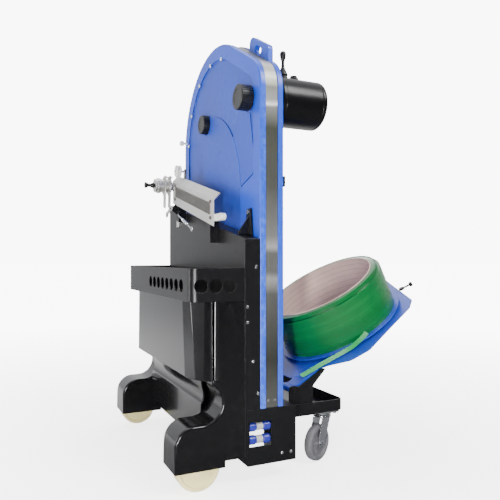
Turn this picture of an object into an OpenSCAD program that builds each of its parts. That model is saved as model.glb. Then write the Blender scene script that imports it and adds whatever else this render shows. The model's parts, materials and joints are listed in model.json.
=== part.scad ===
// Semi automatic strapping machine on wheels.
// A chain lance is stored in an upright arch-shaped magazine, is driven out near the
// floor on the -Y side and carries the strap under and around the load. The strap comes
// from a tilted coil on the +X side, the sealing tool hangs on the -X side.
// Frame: +Z up, floor at Z = 0, the lance leaves towards -Y, the machine rolls along X.

/* [Overall] */
// Width across the two mudguards, along Y
machine_w = 825; // [760:5:1000]
// Height of the top of the arch above the floor
machine_h = 1490; // [1300:5:1800]
// Thickness of steel sheet parts
sheet_t = 3; // [2:0.5:4]

/* [Magazine] */
// Depth of the magazine along Y
mag_w = 743; // [710:1:900]
// Thickness of the magazine across its two plates
mag_t = 84; // [76:1:110]
// Thickness of each blue plate
mag_plate_t = 20; // [14:1:24]
// Radius of the big arch
arch_r = 340; // [280:5:345]
// Radius of the shoulder above the near edge
shoulder_r = 120; // [80:5:150]
// Slope of the straight between shoulder and arch, in degrees
arch_slope = 30; // [20:1:40]
// Width of the flush border around the recessed centre
mag_border = 52; // [45:1:65]
// Depth of the recessed centre
mag_recess = 6; // [3:0.5:8]
// Thickness of the stainless track around the magazine
track_t = 3; // [2:0.5:4]
// Depth of the lance channel behind the track
channel_d = 30; // [28:1:40]
// Length of one lance link
link_l = 47; // [40:1:60]

/* [Drive] */
// Diameter of the motor housing
motor_d = 162; // [120:1:166]
// Length of the motor with its flange and end cap
motor_l = 173; // [140:1:220]
// Height of the two sprocket shafts
drive_z = 1220; // [1100:5:1240]
// Distance between the two sprocket shafts
drive_pitch = 400; // [320:5:420]
// Diameter of the sprocket shafts
shaft_d = 20; // [14:1:26]
// Teeth on each sprocket
sprocket_teeth = 12; // [8:1:16]
// Diameter of the hand knob on the drive shaft
drive_knob_d = 83; // [60:1:100]
// Diameter of the hand knob on the idler shaft
idler_knob_d = 73; // [50:1:90]

/* [Column and tool tray] */
// Width of the column along Y
column_w = 798; // [743:1:810]
// Depth of the column in front of the magazine
column_d = 52; // [40:1:80]
// Height of the column's top edge at its near end
column_h = 760; // [700:5:790]
// Rise of the top edge towards the far end
column_rise = 170; // [100:5:190]
// Depth of the open tool tray
tray_d = 178; // [150:1:220]
// Height of the tool tray's floor
tray_z = 568; // [520:1:600]
// Height of the tool tray's walls
tray_h = 101; // [80:1:120]
// Diameter of the holes in the tool tray
tray_hole_d = 40; // [25:1:44]
// Number of holes in the long wall
tray_holes = 8; // [4:1:10]
// Distance between these holes
tray_hole_pitch = 51.5; // [46:0.5:70]

/* [Front cowl and wheels] */
// Depth of the cowl in front of the column
cowl_d = 158; // [120:1:175]
// Height of the cowl's lower lip
cowl_z = 324; // [280:1:360]
// Width of the cowl's front face
cowl_w = 582; // [500:1:640]
// Thickness of the moulded cowl
cowl_t = 5; // [3:0.5:7]
// Diameter of the front wheels
wheel_d = 136; // [120:1:150]
// Width of the front wheels
wheel_w = 50; // [36:1:54]
// Diameter of the front axles
axle_d = 16; // [12:1:20]
// Width of each mudguard along Y
guard_w = 120; // [110:1:130]

/* [Exit box] */
// Length of the exit box along X
exit_l = 170; // [140:1:180]
// Depth of the exit box along Y
exit_d = 150; // [120:1:170]
// Height of the exit box's underside
exit_z = 53; // [40:1:80]
// Height of the exit box's top, on which the magazine stands
exit_top = 228; // [210:1:260]
// Diameter of the two guide rollers
roller_d = 29; // [24:0.5:34]
// Gap between the two guide rollers
roller_gap = 12; // [10:0.5:16]

/* [Platform and casters] */
// Length of the rear platform along X
platform_l = 226; // [200:1:300]
// Width of the rear platform along Y
platform_w = 648; // [560:1:700]
// Height of the platform's underside
platform_z = 170; // [160:1:190]
// Height of the platform's rim
platform_h = 38; // [30:1:50]
// Diameter of the caster wheels
caster_d = 124; // [100:1:130]
// Width of the caster wheels
caster_w = 30; // [24:1:36]
// Distance from the swivel axis to the caster axle
caster_trail = 36; // [25:1:45]

/* [Strap coil] */
// Inner diameter of the coil's core
coil_id = 406; // [200:1:406]
// Outer diameter of the strap coil
coil_od = 476; // [430:1:500]
// Width of the strap coil
coil_w = 165; // [120:1:190]
// Wall of the cardboard core
core_t = 5; // [3:0.5:8]
// Tilt of the coil tray, in degrees
coil_tilt = 30.6; // [20:0.1:35]
// Thickness of the coil tray's plate
coil_plate_t = 3; // [2:0.5:5]
// Diameter of the spindle that carries the coil
spindle_d = 25; // [16:1:30]
// Width of the strap
strap_w = 16; // [12:1:19]

/* [Tool holder] */
// Length of the stainless holder along Y
holder_l = 460; // [380:5:480]
// Height of the holder's front plate
holder_h = 92; // [80:1:110]
// Rise of the holder from its near end to its far end
holder_rise = 118; // [80:1:130]
// Radius of the hole in the tool hanger
hanger_r = 4; // [3:0.25:6]

/* [Hidden] */
$fn = 64;

eps = 0.01;            // overlap that keeps cuts clean
fit = 0.05;            // radial clearance of a shaft in its bore
gap = 0.5;             // clearance between neighbouring bodies

tray_reach = 293;                      // from the coil's axis to the tray's near edge
coil_y = 251;                          // from the machine's near side to the coil's axis
near_y = (tray_reach - coil_y - machine_w) / 2;
far_y = near_y + machine_w;
mid_y = (near_y + far_y) / 2;
mag_x = -196;                          // middle plane of the magazine
mag_x0 = mag_x - mag_t / 2;
mag_x1 = mag_x + mag_t / 2;
mag_far = near_y + mag_w;
arch_c = [mag_far - arch_r, machine_h - arch_r];
slope_n = [-sin(arch_slope), cos(arch_slope)];
slope_z = arch_c.y + arch_r * slope_n.y
    - (arch_c.x + arch_r * slope_n.x - near_y) * tan(arch_slope);
shoulder_c = [near_y + shoulder_r,
    slope_z - shoulder_r * (1 - sin(arch_slope)) / cos(arch_slope)];
recess_x = mag_x0 + mag_recess;        // surface of the recessed centre
channel_w = mag_t - 2 * mag_plate_t;   // clear width between the plates
link_in = track_t * 2 + channel_d;     // inset of the channel's inner side

drive_y = near_y + motor_d / 2 + 1;
idler_y = drive_y + drive_pitch;
sprocket_r = drive_y - near_y - link_in - gap;
sprocket_w = channel_w - 18;
bush_r = shaft_d / 2 + 6;
motor_x = mag_x1 + 4;

col_x0 = mag_x0 - column_d;
col_far = near_y + column_w;
function column_top(y) = column_h + column_rise * (y - near_y) / column_w;
tray_x0 = col_x0 - tray_d;
cowl_x0 = col_x0 - cowl_d;
wheel_x = col_x0 - 147;
guard_x0 = wheel_x - wheel_d / 2 - 5 - cowl_t;
guard_top = wheel_d + 64;
guard_low = wheel_d / 2 - 4;
lip_x = cowl_x0 + 65;                  // back end of the lower lip
wheel_gap = 10;                        // from the mudguard's outer face to the wheel

exit_x0 = mag_x0 - 42;
exit_x1 = exit_x0 + exit_l;
roller_l = 72;
roller_x = exit_x0 + 8;
roller_y = near_y + 16;
roller_mid = exit_z + 97.5;            // height between the two rollers
roller_pitch = roller_d + roller_gap;

platform_x0 = exit_x1 + 2;
platform_x1 = platform_x0 + platform_l;
platform_y0 = near_y + 63;
platform_y1 = platform_y0 + platform_w;
platform_top = platform_z + platform_h;
rail_z = platform_z - 40;
caster_x = platform_x1 - 62;
caster_ys = [platform_y0 + 40, platform_y1 - 48];
caster_turns = [205, 160];             // which way each caster trails at rest

pivot = [platform_x0 + 27, near_y + coil_y, platform_top + 48];
coil_s = 361;                          // from the pivot to the coil's axis, up the slope
coil_n = 14;                           // from the tray to the coil's lower rim
bracket_y = [-180, 180];               // the two tray brackets, from the coil's axis

holder_x = col_x0 - 32;
holder_y = near_y + 177;
holder_z = column_top(holder_y) + 8;
head_y = holder_y + holder_l + 16;
head_z = holder_z + holder_rise + 74;
holder_slope = atan(holder_rise / holder_l);

black = [0.06, 0.06, 0.065];
blue = [0.16, 0.33, 0.75];
steel = [0.72, 0.72, 0.72];
white = [0.92, 0.92, 0.90];

// ---------- helpers ----------

// Profile in (Y, Z), extruded along +X from x0
module yz(x0, t) translate([x0, 0, 0]) rotate([90, 0, 90]) linear_extrude(t) children();

// Profile in (X, Z), extruded along +Y from y0
module xz(y0, t) translate([0, y0 + t, 0]) rotate([90, 0, 0]) linear_extrude(t) children();

// Cylinder along +X, along +Y
module rod_x(x0, y, z, r, l) translate([x0, y, z]) rotate([0, 90, 0]) cylinder(r = r, h = l);
module rod_y(x, y0, z, r, l) translate([x, y0, z]) rotate([-90, 0, 0]) cylinder(r = r, h = l);

module box(lo, hi) translate(lo) cube(hi - lo);

// Points of the arc that rounds corner b of the path a-b-c
function corner(a, b, c, r, n = 6) =
    let (u = (a - b) / norm(a - b), v = (c - b) / norm(c - b),
         half = acos(max(-1, min(1, u * v))) / 2,
         centre = b + (u + v) / norm(u + v) * r / sin(half),
         p = b + u * r / tan(half) - centre, q = b + v * r / tan(half) - centre,
         a0 = atan2(p.y, p.x), turn = atan2(q.y, q.x) - a0,
         sweep = turn > 180 ? turn - 360 : turn < -180 ? turn + 360 : turn)
    [for (i = [0:n]) centre + r * [cos(a0 + sweep * i / n), sin(a0 + sweep * i / n)]];

// Closed outline with its corners rounded; each corner is [[x, y], radius]
function outline(c) = [for (i = [0:len(c) - 1])
    let (a = c[(i + len(c) - 1) % len(c)][0], b = c[i][0], d = c[(i + 1) % len(c)][0])
    each (c[i][1] > 0 ? corner(a, b, d, c[i][1]) : [b])];

// Outline of the magazine, moved inwards by d, from height z0 up
module mag_shape(d, z0 = exit_top) {
    translate(arch_c) circle(arch_r - d, $fn = 128);
    translate(shoulder_c) circle(shoulder_r - d);
    polygon([[near_y + d, z0], [near_y + d, shoulder_c.y], shoulder_c,
        shoulder_c + (shoulder_r - d) * slope_n, arch_c + (arch_r - d) * slope_n, arch_c,
        [mag_far - d, arch_c.y], [mag_far - d, z0]]);
}

module ring(ro, ri, h) rotate_extrude($fn = 128) translate([ri, 0]) square([ro - ri, h]);

// Coil tray's own frame: X up the slope, Z out of the tray, origin on the hinge
module on_tray() translate(pivot) rotate([0, -coil_tilt, 0]) children();

module on_coil() on_tray() translate([coil_s, 0, 0]) children();

// ---------- magazine ----------

// Recessed centre of the left plate; its near lower part stays flush
module recess_shape() difference() {
    mag_shape(mag_border, exit_top + mag_border);
    polygon([[near_y, 0], [near_y + 155, 0], [near_y + 155, shoulder_c.y - 305],
        [near_y + 67, shoulder_c.y - 277], [near_y, shoulder_c.y - 277]]);
}

module magazine_left_plate() color(blue) difference() {
    yz(mag_x0, mag_plate_t) mag_shape(0);
    yz(mag_x0 - eps, mag_recess + eps) recess_shape();
    for (y = [drive_y, idler_y])
        rod_x(mag_x0 - 1, y, drive_z, bush_r, mag_plate_t + 2);
}

// Lifting ear on the slope, with its slot
ear_y0 = near_y + 71;
ear_y1 = ear_y0 + 146;
ear_h = 50;
function slope_at(y) = slope_z + (y - near_y) * tan(arch_slope);

module ear_shape() polygon(outline([
    [[ear_y0, slope_at(ear_y0) - 30], 0], [[ear_y0, slope_at(ear_y0) + ear_h], 20],
    [[ear_y1, slope_at(ear_y1) + ear_h], 20], [[ear_y1, slope_at(ear_y1) - 30], 0]]));

module ear_slot() translate([(ear_y0 + ear_y1) / 2 + 6, slope_at((ear_y0 + ear_y1) / 2 + 6) + 15])
    rotate(arch_slope) {
        square([30, 24], center = true);
        for (s = [-15, 15]) translate([s, 0]) circle(12);
    }

module magazine_right_plate() color(blue) difference() {
    yz(mag_x1 - mag_plate_t, mag_plate_t) union() {
        mag_shape(0);
        ear_shape();
    }
    yz(mag_x1 - mag_plate_t - 1, mag_plate_t + 2) ear_slot();
    rod_x(mag_x1 - mag_plate_t - 1, drive_y, drive_z, bush_r, mag_plate_t + 2);
    rod_x(mag_x1 - mag_plate_t - 1, idler_y, drive_z, bush_r, mag_plate_t - 5);
}

module track(d, w) yz(mag_x0 + mag_plate_t, channel_w) difference() {
    mag_shape(d);
    mag_shape(d + w, exit_top - 1);
}

module outer_track() color(steel) track(track_t, track_t);

module inner_track() color(black) difference() {
    track(link_in, 4);
    for (y = [drive_y, idler_y])
        rod_x(mag_x - channel_w / 2 - 1, y, drive_z, sprocket_r + 4, channel_w + 2);
}

// Raised guide moulding: a round-headed panel and a teardrop under the drive knob
cover_z = exit_top + mag_border + 40;   // lower end of the moulding
module magazine_cover() color(blue) difference() {
    union() {
        yz(recess_x - 4.5, 4.5) intersection() {
            union() {
                translate([idler_y - 9, drive_z - 298]) circle(320, $fn = 128);
                translate([idler_y - 329, cover_z]) square([367, drive_z - 298 - cover_z]);
            }
            translate([idler_y - 400, cover_z]) square([430, drive_z]);
            recess_shape();
        }
        yz(recess_x - 3, 3) intersection() {
            polygon(outline([
                [[drive_y + 8, drive_z - 20], 0], [[drive_y - 29, drive_z - 184], 60],
                [[near_y + 55, drive_z - 245], 20], [[near_y + 158, drive_z - 279], 0],
                [[drive_y + 140, drive_z - 100], 0], [[drive_y + 100, drive_z - 20], 0]]));
            recess_shape();
        }
    }
    rod_x(mag_x0 - 10, drive_y, drive_z, drive_knob_d / 2 + 3, 20);
    rod_x(mag_x0 - 10, idler_y, drive_z, idler_knob_d / 2 + 3, 20);
}

// Small clips along the step, and the clear knob that holds the cover at its far edge
module cover_clips() color(white) {
    for (a = [5, 30, 58, 84, 106])
        yz(mag_x0 - 3, 3) translate(arch_c) rotate(a) translate([arch_r - mag_border, 0])
            square([12, 10], center = true);
    translate([mag_x0 - 33, mag_far - 31, drive_z - 30]) rotate([0, 90, 0])
        rotate_extrude() polygon([[0, 0], [7, 0], [11, 4], [11, 12], [8, 17], [4, 19],
            [4, 33], [0, 33]]);
}

// Lance links lie along the channel: up the near side, over the arch, down the far side
lane = track_t * 2 + channel_d / 2;
near_run = shoulder_c.y - exit_top - 12;
turn_run = (shoulder_r - lane) * (90 - arch_slope) * PI / 180;
slope_run = norm(arch_c + arch_r * slope_n - shoulder_c - shoulder_r * slope_n);
arch_run = (arch_r - lane) * (90 + arch_slope) * PI / 180;
link_count = floor((near_run + turn_run + slope_run + arch_run + 500) / (link_l + 1));

// Place and heading, [y, z, angle], at distance s along the lane
function lane_at(s) =
    s < near_run ? [near_y + lane, exit_top + 12 + s, 90] :
    s < near_run + turn_run ?
        let (a = 180 - (s - near_run) / (shoulder_r - lane) * 180 / PI)
        [shoulder_c.x + (shoulder_r - lane) * cos(a), shoulder_c.y + (shoulder_r - lane) * sin(a), a - 90] :
    s < near_run + turn_run + slope_run ?
        let (p = shoulder_c + (shoulder_r - lane) * slope_n, d = s - near_run - turn_run)
        [p.x + d * cos(arch_slope), p.y + d * sin(arch_slope), arch_slope] :
    s < near_run + turn_run + slope_run + arch_run ?
        let (a = 90 + arch_slope - (s - near_run - turn_run - slope_run) / (arch_r - lane) * 180 / PI)
        [arch_c.x + (arch_r - lane) * cos(a), arch_c.y + (arch_r - lane) * sin(a), a - 90] :
        [mag_far - lane, arch_c.y - (s - near_run - turn_run - slope_run - arch_run), -90];

module chain_lance() color([0.2, 0.2, 0.22])
    for (i = [0:link_count - 1])
        let (p = lane_at((i + 0.5) * (link_l + 1)))
        yz(mag_x - channel_w / 2 + 4, channel_w - 8) translate([p.x, p.y]) rotate(p.z)
            square([link_l - 9, channel_d - 10], center = true);

// ---------- drive ----------

module shaft_bushes() color([0.75, 0.6, 0.3]) difference() {
    union() {
        for (y = [drive_y, idler_y])
            rod_x(recess_x, y, drive_z, bush_r, mag_plate_t - mag_recess);
        rod_x(mag_x1 - mag_plate_t, drive_y, drive_z, bush_r, mag_plate_t);
        rod_x(mag_x1 - mag_plate_t, idler_y, drive_z, bush_r, mag_plate_t - 6);
    }
    for (y = [drive_y, idler_y])
        rod_x(mag_x0, y, drive_z, shaft_d / 2 + fit, mag_t + 1);
}

module drive_shaft() color(steel)
    rod_x(recess_x - 30, drive_y, drive_z, shaft_d / 2, motor_x + 8 - recess_x + 30);

module idler_shaft() color(steel)
    rod_x(recess_x - 20, idler_y, drive_z, shaft_d / 2, mag_x1 - 8 - recess_x + 20);

module sprocket(y) color([0.35, 0.35, 0.37]) difference() {
    yz(mag_x - sprocket_w / 2, sprocket_w) translate([y, drive_z]) union() {
        circle(sprocket_r - 7);
        for (i = [0:sprocket_teeth - 1]) rotate(360 * i / sprocket_teeth)
            polygon([[0, -6], [sprocket_r - 8, -6], [sprocket_r - 0.5, -3],
                [sprocket_r - 0.5, 3], [sprocket_r - 8, 6], [0, 6]]);
    }
    rod_x(mag_x - channel_w / 2, y, drive_z, shaft_d / 2, channel_w);
}

module drive_sprocket() sprocket(drive_y);

module idler_sprocket() sprocket(idler_y);

// Fluted knob, its blind bore on the shaft's end
module hand_knob(x1, y, d, l, grip) color(black) difference() {
    rod_x(x1 - l, y, drive_z, d / 2, l);
    rod_x(x1 - grip, y, drive_z, shaft_d / 2, grip + 1);
    for (i = [0:29])
        translate([0, y, drive_z]) rotate([12 * i, 0, 0])
            rod_x(x1 - l + 3, d / 2 + 1, 0, 2.5, l - 6, $fn = 24);
}

module drive_knob() hand_knob(mag_x0 - gap, drive_y, drive_knob_d, 43, 30 - mag_recess - gap);

module idler_knob() hand_knob(recess_x - gap, idler_y, idler_knob_d, 28, 20 - gap);

module motor_flange() color(black) difference() {
    rod_x(mag_x1, drive_y, drive_z, motor_d / 2 - 12, motor_x - mag_x1);
    rod_x(mag_x1 - 1, drive_y, drive_z, shaft_d / 2 + 3, motor_x - mag_x1 + 2);
}

module motor_housing() color(black) difference() {
    rod_x(motor_x, drive_y, drive_z, motor_d / 2, motor_l - 24);
    rod_x(motor_x - 1, drive_y, drive_z, shaft_d / 2 + 3, 14);
}

module motor_cap() color(black)
    translate([motor_x + motor_l - 24, drive_y, drive_z]) rotate([0, 90, 0])
        rotate_extrude($fn = 96) polygon(outline([
            [[0, 0], 0], [[motor_d / 2, 0], 0], [[motor_d / 2, 20], 14], [[0, 20], 0]]));

joystick_x = motor_x + 37;
button_x = motor_x + 78;
motor_top = drive_z + motor_d / 2;

// Collars of the joystick and of the power button, saddled on the motor housing
module joystick_collar() color(black) difference() {
    union() {
        translate([joystick_x, drive_y, motor_top - 6]) cylinder(r1 = 17, r2 = 15, h = 12);
        translate([button_x, drive_y, motor_top - 6]) cylinder(r = 16, h = 12);
    }
    rod_x(motor_x - 1, drive_y, drive_z, motor_d / 2, motor_l);
    translate([joystick_x, drive_y, motor_top - 10]) cylinder(r = 11, h = 30);
    translate([button_x, drive_y, motor_top - 10]) cylinder(r = 12.5 + fit, h = 30);
}

// Lever pivots on a ball just above the housing; boot, waist and grip turn with it
module joystick_lever() color(black) translate([joystick_x, drive_y, motor_top + 7])
    rotate_extrude() polygon([[0, -6], [4, -5], [6, 0], [6, 3.5], [13, 3.5], [13, 6], [9, 15],
        [4.2, 34], [3.8, 48], [6, 58], [8, 72], [7.5, 80], [5, 84], [0, 85]]);

module power_button() color([0.12, 0.12, 0.13]) translate([button_x, drive_y, motor_top + 4]) {
    cylinder(r = 12.5, h = 7);
    translate([0, 0, 7]) cylinder(r1 = 12.5, r2 = 10.5, h = 3);
}

// ---------- column, tool tray, cowl ----------

module column_side(d) polygon([[near_y + d, 84 + d], [col_far - d, 84 + d],
    [col_far - d, column_top(col_far) - d], [near_y + d, column_top(near_y) - d]]);

// Folded sheet: a broad face with returns on all four edges, open towards the magazine
module column_panel() color(black) difference() {
    yz(col_x0, column_d) column_side(0);
    yz(col_x0 + sheet_t, column_d) column_side(sheet_t);
    box([exit_x0 - gap, near_y - 1, 0], [mag_x0 + 1, near_y + exit_d + gap, exit_top + gap]);
    for (p = rail_spans) box([col_x0, p[0] - gap, rail_z - gap],
        [mag_x0 + 1, p[1] + gap, platform_z + gap]);
    for (p = column_screw_at) rod_y(p.x, near_y - 1, p.y, 3, 8);
}

column_screw_at = [[col_x0 + 39, 672], [col_x0 + 9, 548], [col_x0 + 9, 500], [col_x0 + 28, 378],
    [col_x0 + 45, 277]];
exit_screw_at = [[exit_x0 + 120, exit_z + 27], [exit_x0 + 152, exit_z + 27]];

// Pan-head screws of the column's near return and of the exit box
module panel_screws() color(steel)
    for (p = concat(column_screw_at, exit_screw_at)) {
        rod_y(p.x, near_y, p.y, 3, sheet_t + 7);
        translate([p.x, near_y, p.y]) rotate([90, 0, 0]) cylinder(r1 = 5.5, r2 = 4, h = 2);
    }

brace_y = near_y + 71;
brace_top = column_top(brace_y) + 85;

// Tapered brace that ties the magazine to the column
module magazine_brace() color(black) difference() {
    union() {
        yz(mag_x0 - 8, 8) polygon([[brace_y - 23, column_top(brace_y - 23)],
            [brace_y + 23, column_top(brace_y + 23)],
            [brace_y + 13, brace_top], [brace_y - 13, brace_top]]);
        xz(brace_y - 4, 8) polygon([[col_x0 + 8, column_top(brace_y + 4)],
            [mag_x0 - 7, column_top(brace_y + 4)], [mag_x0 - 7, brace_top - 24],
            [col_x0 + 8, column_top(brace_y + 4) + 6]]);
    }
    rod_x(mag_x0 - 9, brace_y, brace_top - 11, 4, 10);
}

// Hexagon head bolts, each through a plate of thickness t: brace, caster plates, axle brackets
module hex_bolt(t) {
    cylinder(r = 7.5, h = 5, $fn = 6);
    translate([0, 0, -t]) cylinder(r = 4, h = t + eps);
}

module hex_bolts() color(steel) {
    translate([mag_x0 - 8, brace_y, brace_top - 11]) rotate([0, -90, 0]) hex_bolt(8);
    for (y = caster_ys, dx = [-30, 30], dy = [-30, 30])
        translate([caster_x + dx, y + dy, platform_z - 5]) rotate([180, 0, 0]) hex_bolt(5);
    for (p = bracket_spans, z = [rail_z + 10, rail_z + 30])
        translate([beam_x0 - 6, (p[0] + p[1]) / 2 + p[2] * 22, z]) rotate([0, -90, 0]) hex_bolt(6);
}

tray_r = 26;
module tray_plan(d) polygon(outline([
    [[tray_x0 + d, near_y + d], tray_r - d], [[col_x0 - d, near_y + d], 0],
    [[col_x0 - d, col_far - d], 0], [[tray_x0 + d, col_far - d], tray_r - d]]));

// Open tray with a row of holes in its long wall and three in its near end
module tool_tray() color(black) difference() {
    translate([0, 0, tray_z]) linear_extrude(tray_h) tray_plan(0);
    translate([0, 0, tray_z + sheet_t]) linear_extrude(tray_h) tray_plan(sheet_t);
    for (i = [0:tray_holes - 1])
        rod_x(tray_x0 - 1, near_y + 87 + i * tray_hole_pitch, tray_z + 46, tray_hole_d / 2, 12);
    for (x = [-120, 0, 120] / 120 * (tray_hole_d + 6.5))
        rod_y((tray_x0 + col_x0) / 2 - 7 + x, near_y - 1, tray_z + 47, tray_hole_d / 2 + 1, 6);
}

// One side of the cowl in plan, moved in by d: the front face's end, a narrow cheek beside
// it, then a flare to the plane of the mudguards and back to the column
cheek_run = 15;
cheek_w = 0.56 * (machine_w - cowl_w) / 2;
function cowl_side(s, d) = [
    [cowl_x0 + d, mid_y + s * (cowl_w / 2 - d)],
    [cowl_x0 + cheek_run + d, mid_y + s * (cowl_w / 2 + cheek_w - d)],
    [lip_x - 14 + d, mid_y + s * (machine_w / 2 - d)],
    [col_x0 + (d > 0 ? 1 : 0), mid_y + s * (machine_w / 2 - d)]];

// The cowl's upper box, moved in by d
module cowl_box(d, z0, z1) translate([0, 0, z0]) linear_extrude(z1 - z0)
    polygon(concat(cowl_side(-1, d), [for (i = [3:-1:0]) cowl_side(1, d)[i]]));

// Side view of a mudguard and its leg: round nose over the wheel, then a hollow
// that sweeps back under the lip of the cowl
module guard_side(d) difference() {
    polygon(outline([[[guard_x0 + d, guard_low - (d > 0 ? 1 : 0)], 0],
        [[guard_x0 + d, guard_top - d], 62 - d], [[lip_x - 14, guard_top - d], 0],
        [[lip_x - 14 + 2 * d, cowl_z + 4], 0],
        [[col_x0 + (d > 0 ? 1 : 0), cowl_z + 4], 0],
        [[col_x0 + (d > 0 ? 1 : 0), 84 - (d > 0 ? 1 : 0)], 0], [[wheel_x + 76 + (d > 0 ? 0 : 6), 84], 0],
        [[wheel_x + 76 + (d > 0 ? 0 : 6), guard_low - (d > 0 ? 1 : 0)], 0]]));
    translate([lip_x - 43, (guard_top + cowl_z) / 2]) circle((cowl_z - guard_top) / 2 + d);
}

module guard(y0, y1) difference() {
    xz(y0, y1 - y0) guard_side(0);
    xz(y0 + cowl_t, y1 - y0 - 2 * cowl_t) guard_side(cowl_t);
}

// One moulded cover: upper box, lip, centre panel and two mudguards; the crossbeam
// passes through the mudguards' inner walls
module front_cowl() color(black) difference() {
    cowl_shell();
    box([beam_x0 - gap, near_y + 20 - gap, rail_z - gap],
        [beam_x0 + 40 + gap, far_y - 20 + gap, platform_z + gap]);
}

module cowl_shell() {
    difference() {
        cowl_box(0, cowl_z, tray_z);
        cowl_box(cowl_t, cowl_z + cowl_t, tray_z + 1);
    }
    guard(near_y, near_y + guard_w);
    guard(far_y - guard_w, far_y);
    xz(near_y + guard_w - 1, machine_w - 2 * guard_w + 2) polygon([
        [lip_x - 12, cowl_z + 3], [lip_x + 6, cowl_z - 50], [lip_x - 2, guard_top],
        [lip_x - 14, 112], [lip_x - 9, 112], [lip_x + 3, guard_top],
        [lip_x + 11, cowl_z - 50], [lip_x - 2, cowl_z + 3]]);
}

// ---------- battery and controller inside the cowl ----------

module battery_shelf() color(steel)
    box([cowl_x0 + 22, -150, cowl_z + 22], [col_x0, 150, cowl_z + 22 + sheet_t]);

module battery_pack() color([0.25, 0.25, 0.27])
    box([cowl_x0 + 26, -120, cowl_z + 22 + sheet_t], [col_x0 - 6, 60, cowl_z + 160]);

module motor_controller() color([0.5, 0.5, 0.52]) {
    box([cowl_x0 + 50, 75, cowl_z + 22 + sheet_t], [col_x0 - 20, 140, cowl_z + 120]);
    for (i = [0:4])
        box([cowl_x0 + 55 + i * 17, 80, cowl_z + 119], [cowl_x0 + 59 + i * 17, 135, cowl_z + 132]);
}

// ---------- chassis ----------

beam_x0 = col_x0 - 46;
rail_spans = [[near_y + exit_d + 22, near_y + exit_d + 62], [far_y - 275, far_y - 235]];
// Each axle bracket's plate: [y0, y1, side towards the middle]
bracket_spans = [
    [near_y + wheel_gap + wheel_w + 4, near_y + wheel_gap + wheel_w + 10, 1],
    [far_y - wheel_gap - wheel_w - 10, far_y - wheel_gap - wheel_w - 4, -1]];

module front_crossbeam() color(black) difference() {
    box([beam_x0, near_y + 20, rail_z], [beam_x0 + 40, far_y - 20, platform_z]);
    box([beam_x0 + 3, near_y + 19, rail_z + 3], [beam_x0 + 37, far_y - 19, platform_z - 3]);
}

module chassis_rails() color(black)
    for (p = rail_spans) difference() {
        box([beam_x0 + 40, p[0], rail_z], [platform_x1 - 30, p[1], platform_z]);
        box([beam_x0 + 39, p[0] + 3, rail_z + 3], [platform_x1 - 29, p[1] - 3, platform_z - 3]);
    }

// Plate beside each front wheel, with a foot bolted to the crossbeam
module axle_brackets() color(black)
    for (p = bracket_spans) difference() {
        union() {
            xz(p[0], 6) polygon(outline([[[wheel_x - 18, wheel_d / 2 - 16], 10],
                [[wheel_x - 18, wheel_d / 2 + 20], 10], [[wheel_x + 24, platform_z], 10],
                [[beam_x0, platform_z], 0], [[beam_x0, rail_z], 0],
                [[wheel_x + 20, wheel_d / 2 - 16], 10]]));
            box([beam_x0 - 6, min(p[0], (p[0] + p[1]) / 2 + p[2] * 34), rail_z],
                [beam_x0, max(p[1], (p[0] + p[1]) / 2 + p[2] * 34), platform_z]);
        }
        rod_y(wheel_x, p[0] - 1, wheel_d / 2, axle_d / 2, 8);
        for (z = [rail_z + 10, rail_z + 30])
            rod_x(beam_x0 - 7, (p[0] + p[1]) / 2 + p[2] * 22, z, 4, 8);
    }

module front_axles() color(steel)
    for (p = bracket_spans)
        let (y0 = p[2] > 0 ? near_y + wheel_gap - 2 : p[0] - 8, y1 = p[2] > 0 ? p[1] + 8 : far_y - wheel_gap + 2)
        rod_y(wheel_x, y0, wheel_d / 2, axle_d / 2, y1 - y0);

// Solid nylon wheel with a shallow dish and a hub
module front_wheel(y0) color([0.9, 0.86, 0.68]) translate([wheel_x, y0, wheel_d / 2]) rotate([-90, 0, 0])
    rotate_extrude($fn = 96) polygon(outline([
        [[axle_d / 2 + fit, -2], 0], [[22, -2], 0], [[24, 4], 0], [[wheel_d / 2 - 12, 4], 0],
        [[wheel_d / 2 - 10, 0], 0], [[wheel_d / 2, 0], 6], [[wheel_d / 2, wheel_w], 6],
        [[wheel_d / 2 - 10, wheel_w], 0], [[wheel_d / 2 - 12, wheel_w - 4], 0],
        [[24, wheel_w - 4], 0], [[22, wheel_w + 2], 0], [[axle_d / 2 + fit, wheel_w + 2], 0]]));

module front_wheel_near() front_wheel(near_y + wheel_gap);

module front_wheel_far() front_wheel(far_y - wheel_gap - wheel_w);

// ---------- exit box ----------

// Steel box under the magazine; the lance leaves between its two rollers
module exit_box() color(black) difference() {
    box([exit_x0, near_y, exit_z], [exit_x1, near_y + exit_d, exit_top]);
    box([exit_x0 + sheet_t, near_y + sheet_t, exit_z + sheet_t],
        [exit_x1 - sheet_t, near_y + exit_d + 1, exit_top - sheet_t]);
    box([roller_x - 2, near_y - 1, roller_mid - roller_pitch / 2 - roller_d / 2 - 3],
        [roller_x + roller_l + 2, near_y + sheet_t + 1, roller_mid + roller_pitch / 2 + roller_d / 2 + 3]);
    box([mag_x - channel_w / 2 + 2, near_y + track_t, exit_top - 5],
        [mag_x + channel_w / 2 - 2, near_y + link_in, exit_top + 1]);
    for (z = [roller_mid - roller_pitch / 2, roller_mid + roller_pitch / 2])
        rod_x(exit_x0 - 1, roller_y, z, 5, roller_l + 20);
    for (p = exit_screw_at) rod_y(p.x, near_y - 1, p.y, 3, 8);
}

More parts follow.
